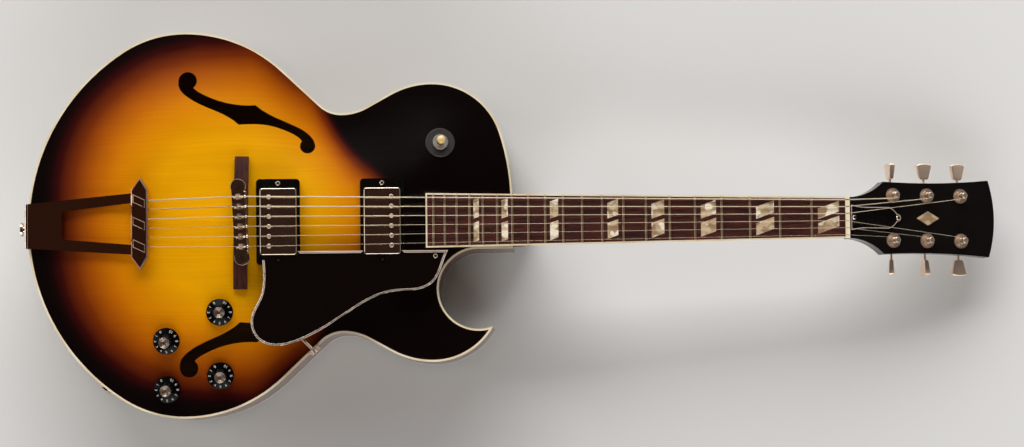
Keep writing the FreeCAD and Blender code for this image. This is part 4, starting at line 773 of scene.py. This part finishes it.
# numbers lying on the sloping skirt of one knob, their tops towards the stem
def dialNumbers(knob):
    place = jointFrame(f"turn_knob_{knob + 1}")
    rise = dial["skirtHigh"] - dial["edge"]
    run = dial["skirtRadius"] - dial["stemRadius"]
    slope = math.atan2(rise, run)
    height = dial["lift"] + dial["edge"] + (dial["skirtRadius"] - dial["ringRadius"]) * rise / run
    digits = []
    for number in range(dial["count"]):
        turn = dial["start"] + dial["spread"] * number / (dial["count"] - 1)
        digit = dialDigit(number)
        lean = Matrix.Rotation(slope, 4, "X")
        lay = Matrix.Translation((0.0, -dial["ringRadius"], height)) @ lean
        digit.matrix_world = place @ Matrix.Rotation(turn, 4, "Z") @ lay
        digits.append(digit)
    deselect()
    for digit in digits:
        digit.select_set(True)
    bpy.context.view_layer.objects.active = digits[0]
    bpy.ops.object.transform_apply(location=True, rotation=True, scale=True)
    bpy.ops.object.join()
    settle(bpy.context.object, f"dialNumbers{knob + 1}", [inkFinish], f"knob_{knob + 1}")


spunCap = {
    "pale": (214, 194, 176),
    "dull": (180, 160, 142),
    "cloud": (400.0, 400.0, 400.0),
    "rings": 45000.0,
    "tilt": 0.85,
}


# a spun cap: fine rings turned about the knob's own axis
def capFinish(knob):
    place = jointFrame(f"turn_knob_{knob + 1}")
    finish = Finish(f"spunCap{knob + 1}")
    middle = tuple(place.translation)
    out = finish.node("VectorMath", {"operation": "SUBTRACT"}, {0: finish.place, 1: middle})
    distance = finish.node("VectorMath", {"operation": "LENGTH"}, {0: out}, "Value")
    spoke = finish.node("VectorMath", {"operation": "NORMALIZE"}, {0: out})
    ring = (distance * spunCap["rings"]).sine() * spunCap["tilt"]
    tilt = finish.node("VectorMath", {"operation": "SCALE"}, {0: spoke, "Scale": ring})
    facing = finish.node("NewGeometry", {}, {}, "Normal")
    lean = finish.node("VectorMath", {"operation": "ADD"}, {0: facing, 1: tilt})
    normal = finish.node("VectorMath", {"operation": "NORMALIZE"}, {0: lean})
    cloud = finish.noise(spunCap["cloud"], 3.0)
    colour = finish.mix(cloud, paint(*spunCap["pale"]), paint(*spunCap["dull"]))
    return finish.surface({"Base Color": colour, "Metallic": 1.0, "Roughness": 0.24 + 0.08 * cloud,
                           "Normal": normal})


def capTest(knob):
    inward = jointFrame(f"turn_knob_{knob + 1}").inverted()

    def isCap(face):
        spot = inward @ face.center
        return spot.z > dial["capLow"] and math.hypot(spot.x, spot.y) < dial["capRadius"]

    return isCap


for knob in range(4):
    dialNumbers(knob)
    repaint(nodes[f"knob_{knob + 1}"], capFinish(knob), capTest(knob))
print("dials numbered")

plyRings = {
    "guardEdging": {
        "node": "pickguard",
        "plies": ((palePlastic, 0.001), (finishes["black_plastic"], 0.0005), (palePlastic, 0.0008)),
        "proud": 0.00012,
        "notches": pickups,
        "notchSide": 0.0045,
        "notchDepth": -0.0398,
    },
    "coverEdging": {
        "node": "truss_rod_cover",
        "plies": ((palePlastic, 0.0008),),
        "proud": 0.0001,
        "notches": (),
    },
}


upperFace = {"facing": 0.99, "offLevel": 0.00005}


def pickFaces(piece, test):
    bpy.ops.object.mode_set(mode="OBJECT")
    for face in piece.data.polygons:
        face.select = test(face)
    bpy.ops.object.mode_set(mode="EDIT")


# thin plies showing round the rim of a flat plate, inset from a copy of its upper face
def makeEdging(name, settings):
    source = nodes[settings["node"]]
    upper = [face for face in source.data.polygons if face.normal.z > plateTilt]
    largest = max(upper, key=lambda face: face.area)
    up = largest.normal.copy()
    level = largest.center.dot(up)
    plies = settings["plies"]
    piece = bpy.data.objects.new(name, source.data.copy())
    bpy.context.scene.collection.objects.link(piece)
    deselect()
    piece.select_set(True)
    bpy.context.view_layer.objects.active = piece
    piece.data.materials.clear()
    for slot in range(len(plies) + 1):
        bpy.ops.object.material_slot_add()
    bpy.ops.object.mode_set(mode="EDIT")
    bpy.ops.mesh.select_mode(type="FACE")
    bpy.ops.mesh.select_all(action="SELECT")
    bpy.ops.mesh.remove_doubles(threshold=weld["distance"])
    pickFaces(piece, lambda face: face.normal.dot(up) < upperFace["facing"]
              or abs(face.center.dot(up) - level) > upperFace["offLevel"])
    bpy.ops.mesh.delete(type="FACE")
    bpy.ops.mesh.select_all(action="SELECT")
    piece.active_material_index = 0
    bpy.ops.object.material_slot_assign()
    for index, (material, width) in enumerate(plies):
        pickFaces(piece, lambda face: face.material_index == index)
        bpy.ops.mesh.inset(thickness=width, depth=0.0, use_boundary=True, use_even_offset=True)
        piece.active_material_index = index + 1
        bpy.ops.object.material_slot_assign()
    pickFaces(piece, lambda face: face.material_index == len(plies))
    bpy.ops.mesh.delete(type="FACE")
    bpy.ops.object.mode_set(mode="OBJECT")
    rim = min(piece.data.polygons, key=lambda face: face.center.y).index
    pickFaces(piece, lambda face: face.index == rim)
    bpy.ops.mesh.select_linked()
    bpy.ops.mesh.select_all(action="INVERT")
    bpy.ops.mesh.delete(type="FACE")
    for notch in settings["notches"]:
        low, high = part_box(notch)
        reach = settings["notchSide"]
        pickFaces(piece, lambda face: low.x - reach < face.center.x < high.x + reach
                  and face.center.y > settings["notchDepth"])
        bpy.ops.mesh.delete(type="FACE")
    bpy.ops.object.mode_set(mode="OBJECT")
    wall = piece.modifiers.new("wall", "SOLIDIFY")
    wall.thickness = settings["proud"]
    wall.offset = 1.0
    bpy.ops.object.modifier_apply(modifier="wall")
    settle(piece, name, [material for material, width in plies], "guitar")


for name, settings in plyRings.items():
    makeEdging(name, settings)
print("plates edged")

lamps = {
    "key": {"spot": (-0.93, 11.75, 6.1), "size": (15.5, 7.0), "power": 2560.0},
    "fill": {"spot": (0.58, -11.75, 5.6), "size": (15.5, 7.0), "power": 1220.0},
    "tail": {"spot": (-12.4, 1.75, 5.1), "size": (5.4, 10.0), "power": 325.0},
}
aim = Vector((-0.05, 0.0, 0.1))


def makeLamp(name, settings):
    data = bpy.data.lights.new(name, "AREA")
    data.shape = "RECTANGLE"
    data.size, data.size_y = settings["size"]
    data.energy = settings["power"]
    lamp = bpy.data.objects.new(name, data)
    bpy.context.scene.collection.objects.link(lamp)
    lamp.location = settings["spot"]
    lamp.rotation_euler = (aim - Vector(settings["spot"])).to_track_quat("-Z", "Y").to_euler()


for name, settings in lamps.items():
    makeLamp(name, settings)

studioRoom = {
    "overhead": (0.03, 0.013, 0.008, 1.0),
    "horizon": (0.52, 0.52, 0.52, 1.0),
    "low": 0.12,
    "high": 0.7,
}


# dark overhead and pale towards the horizon, so that flat metal stays dark and its edges catch light
def makeRoom():
    around = Surroundings("studio")
    height = around.between(around.axis("Z"), studioRoom["low"], studioRoom["high"])
    colour = around.mix(height, studioRoom["horizon"], studioRoom["overhead"])
    glow = around.node("Background", {}, {"Color": colour})
    around.close(glow, "OutputWorld")


makeRoom()

floorSettings = {"size": 12.0, "drop": -0.0005, "tone": (226, 225, 222), "mottle": (200, 198, 194)}


def paleFloor():
    finish = Finish("paleFloor")
    mottle = finish.noise((3.0, 3.0, 3.0), 3.0)
    tones = [paint(*floorSettings[name]) for name in ("tone", "mottle")]
    colour = finish.mix(0.04 * mottle, *tones)
    deselect()
    bpy.ops.mesh.primitive_plane_add(size=floorSettings["size"],
                                     location=(0.0, 0.0, floorSettings["drop"]))
    floor = bpy.context.object
    floor.name = "studioFloor"
    floor.data.materials.append(finish.surface({"Base Color": colour, "Roughness": 0.9}))


paleFloor()

# stands where the photograph was taken from, looking down on the top
cameraSettings = {
    "spot": (0.0911, -0.2677, 3.9114),
    "turn": (0.06912, 0.02317, -0.01119),
    "focal": 3658.5,
    "imageWidth": 1024,
    "sensor": 36.0,
    "furthest": 50.0,
}


def makeCamera():
    data = bpy.data.cameras.new("photoCamera")
    data.sensor_fit = "HORIZONTAL"
    data.sensor_width = cameraSettings["sensor"]
    data.lens = cameraSettings["focal"] * cameraSettings["sensor"] / cameraSettings["imageWidth"]
    data.clip_end = cameraSettings["furthest"]
    camera = bpy.data.objects.new("photoCamera", data)
    bpy.context.scene.collection.objects.link(camera)
    camera.location = cameraSettings["spot"]
    camera.rotation_euler = cameraSettings["turn"]
    bpy.context.scene.camera = camera


makeCamera()
bpy.context.scene.view_settings.view_transform = "Standard"
print("camera and lights set")
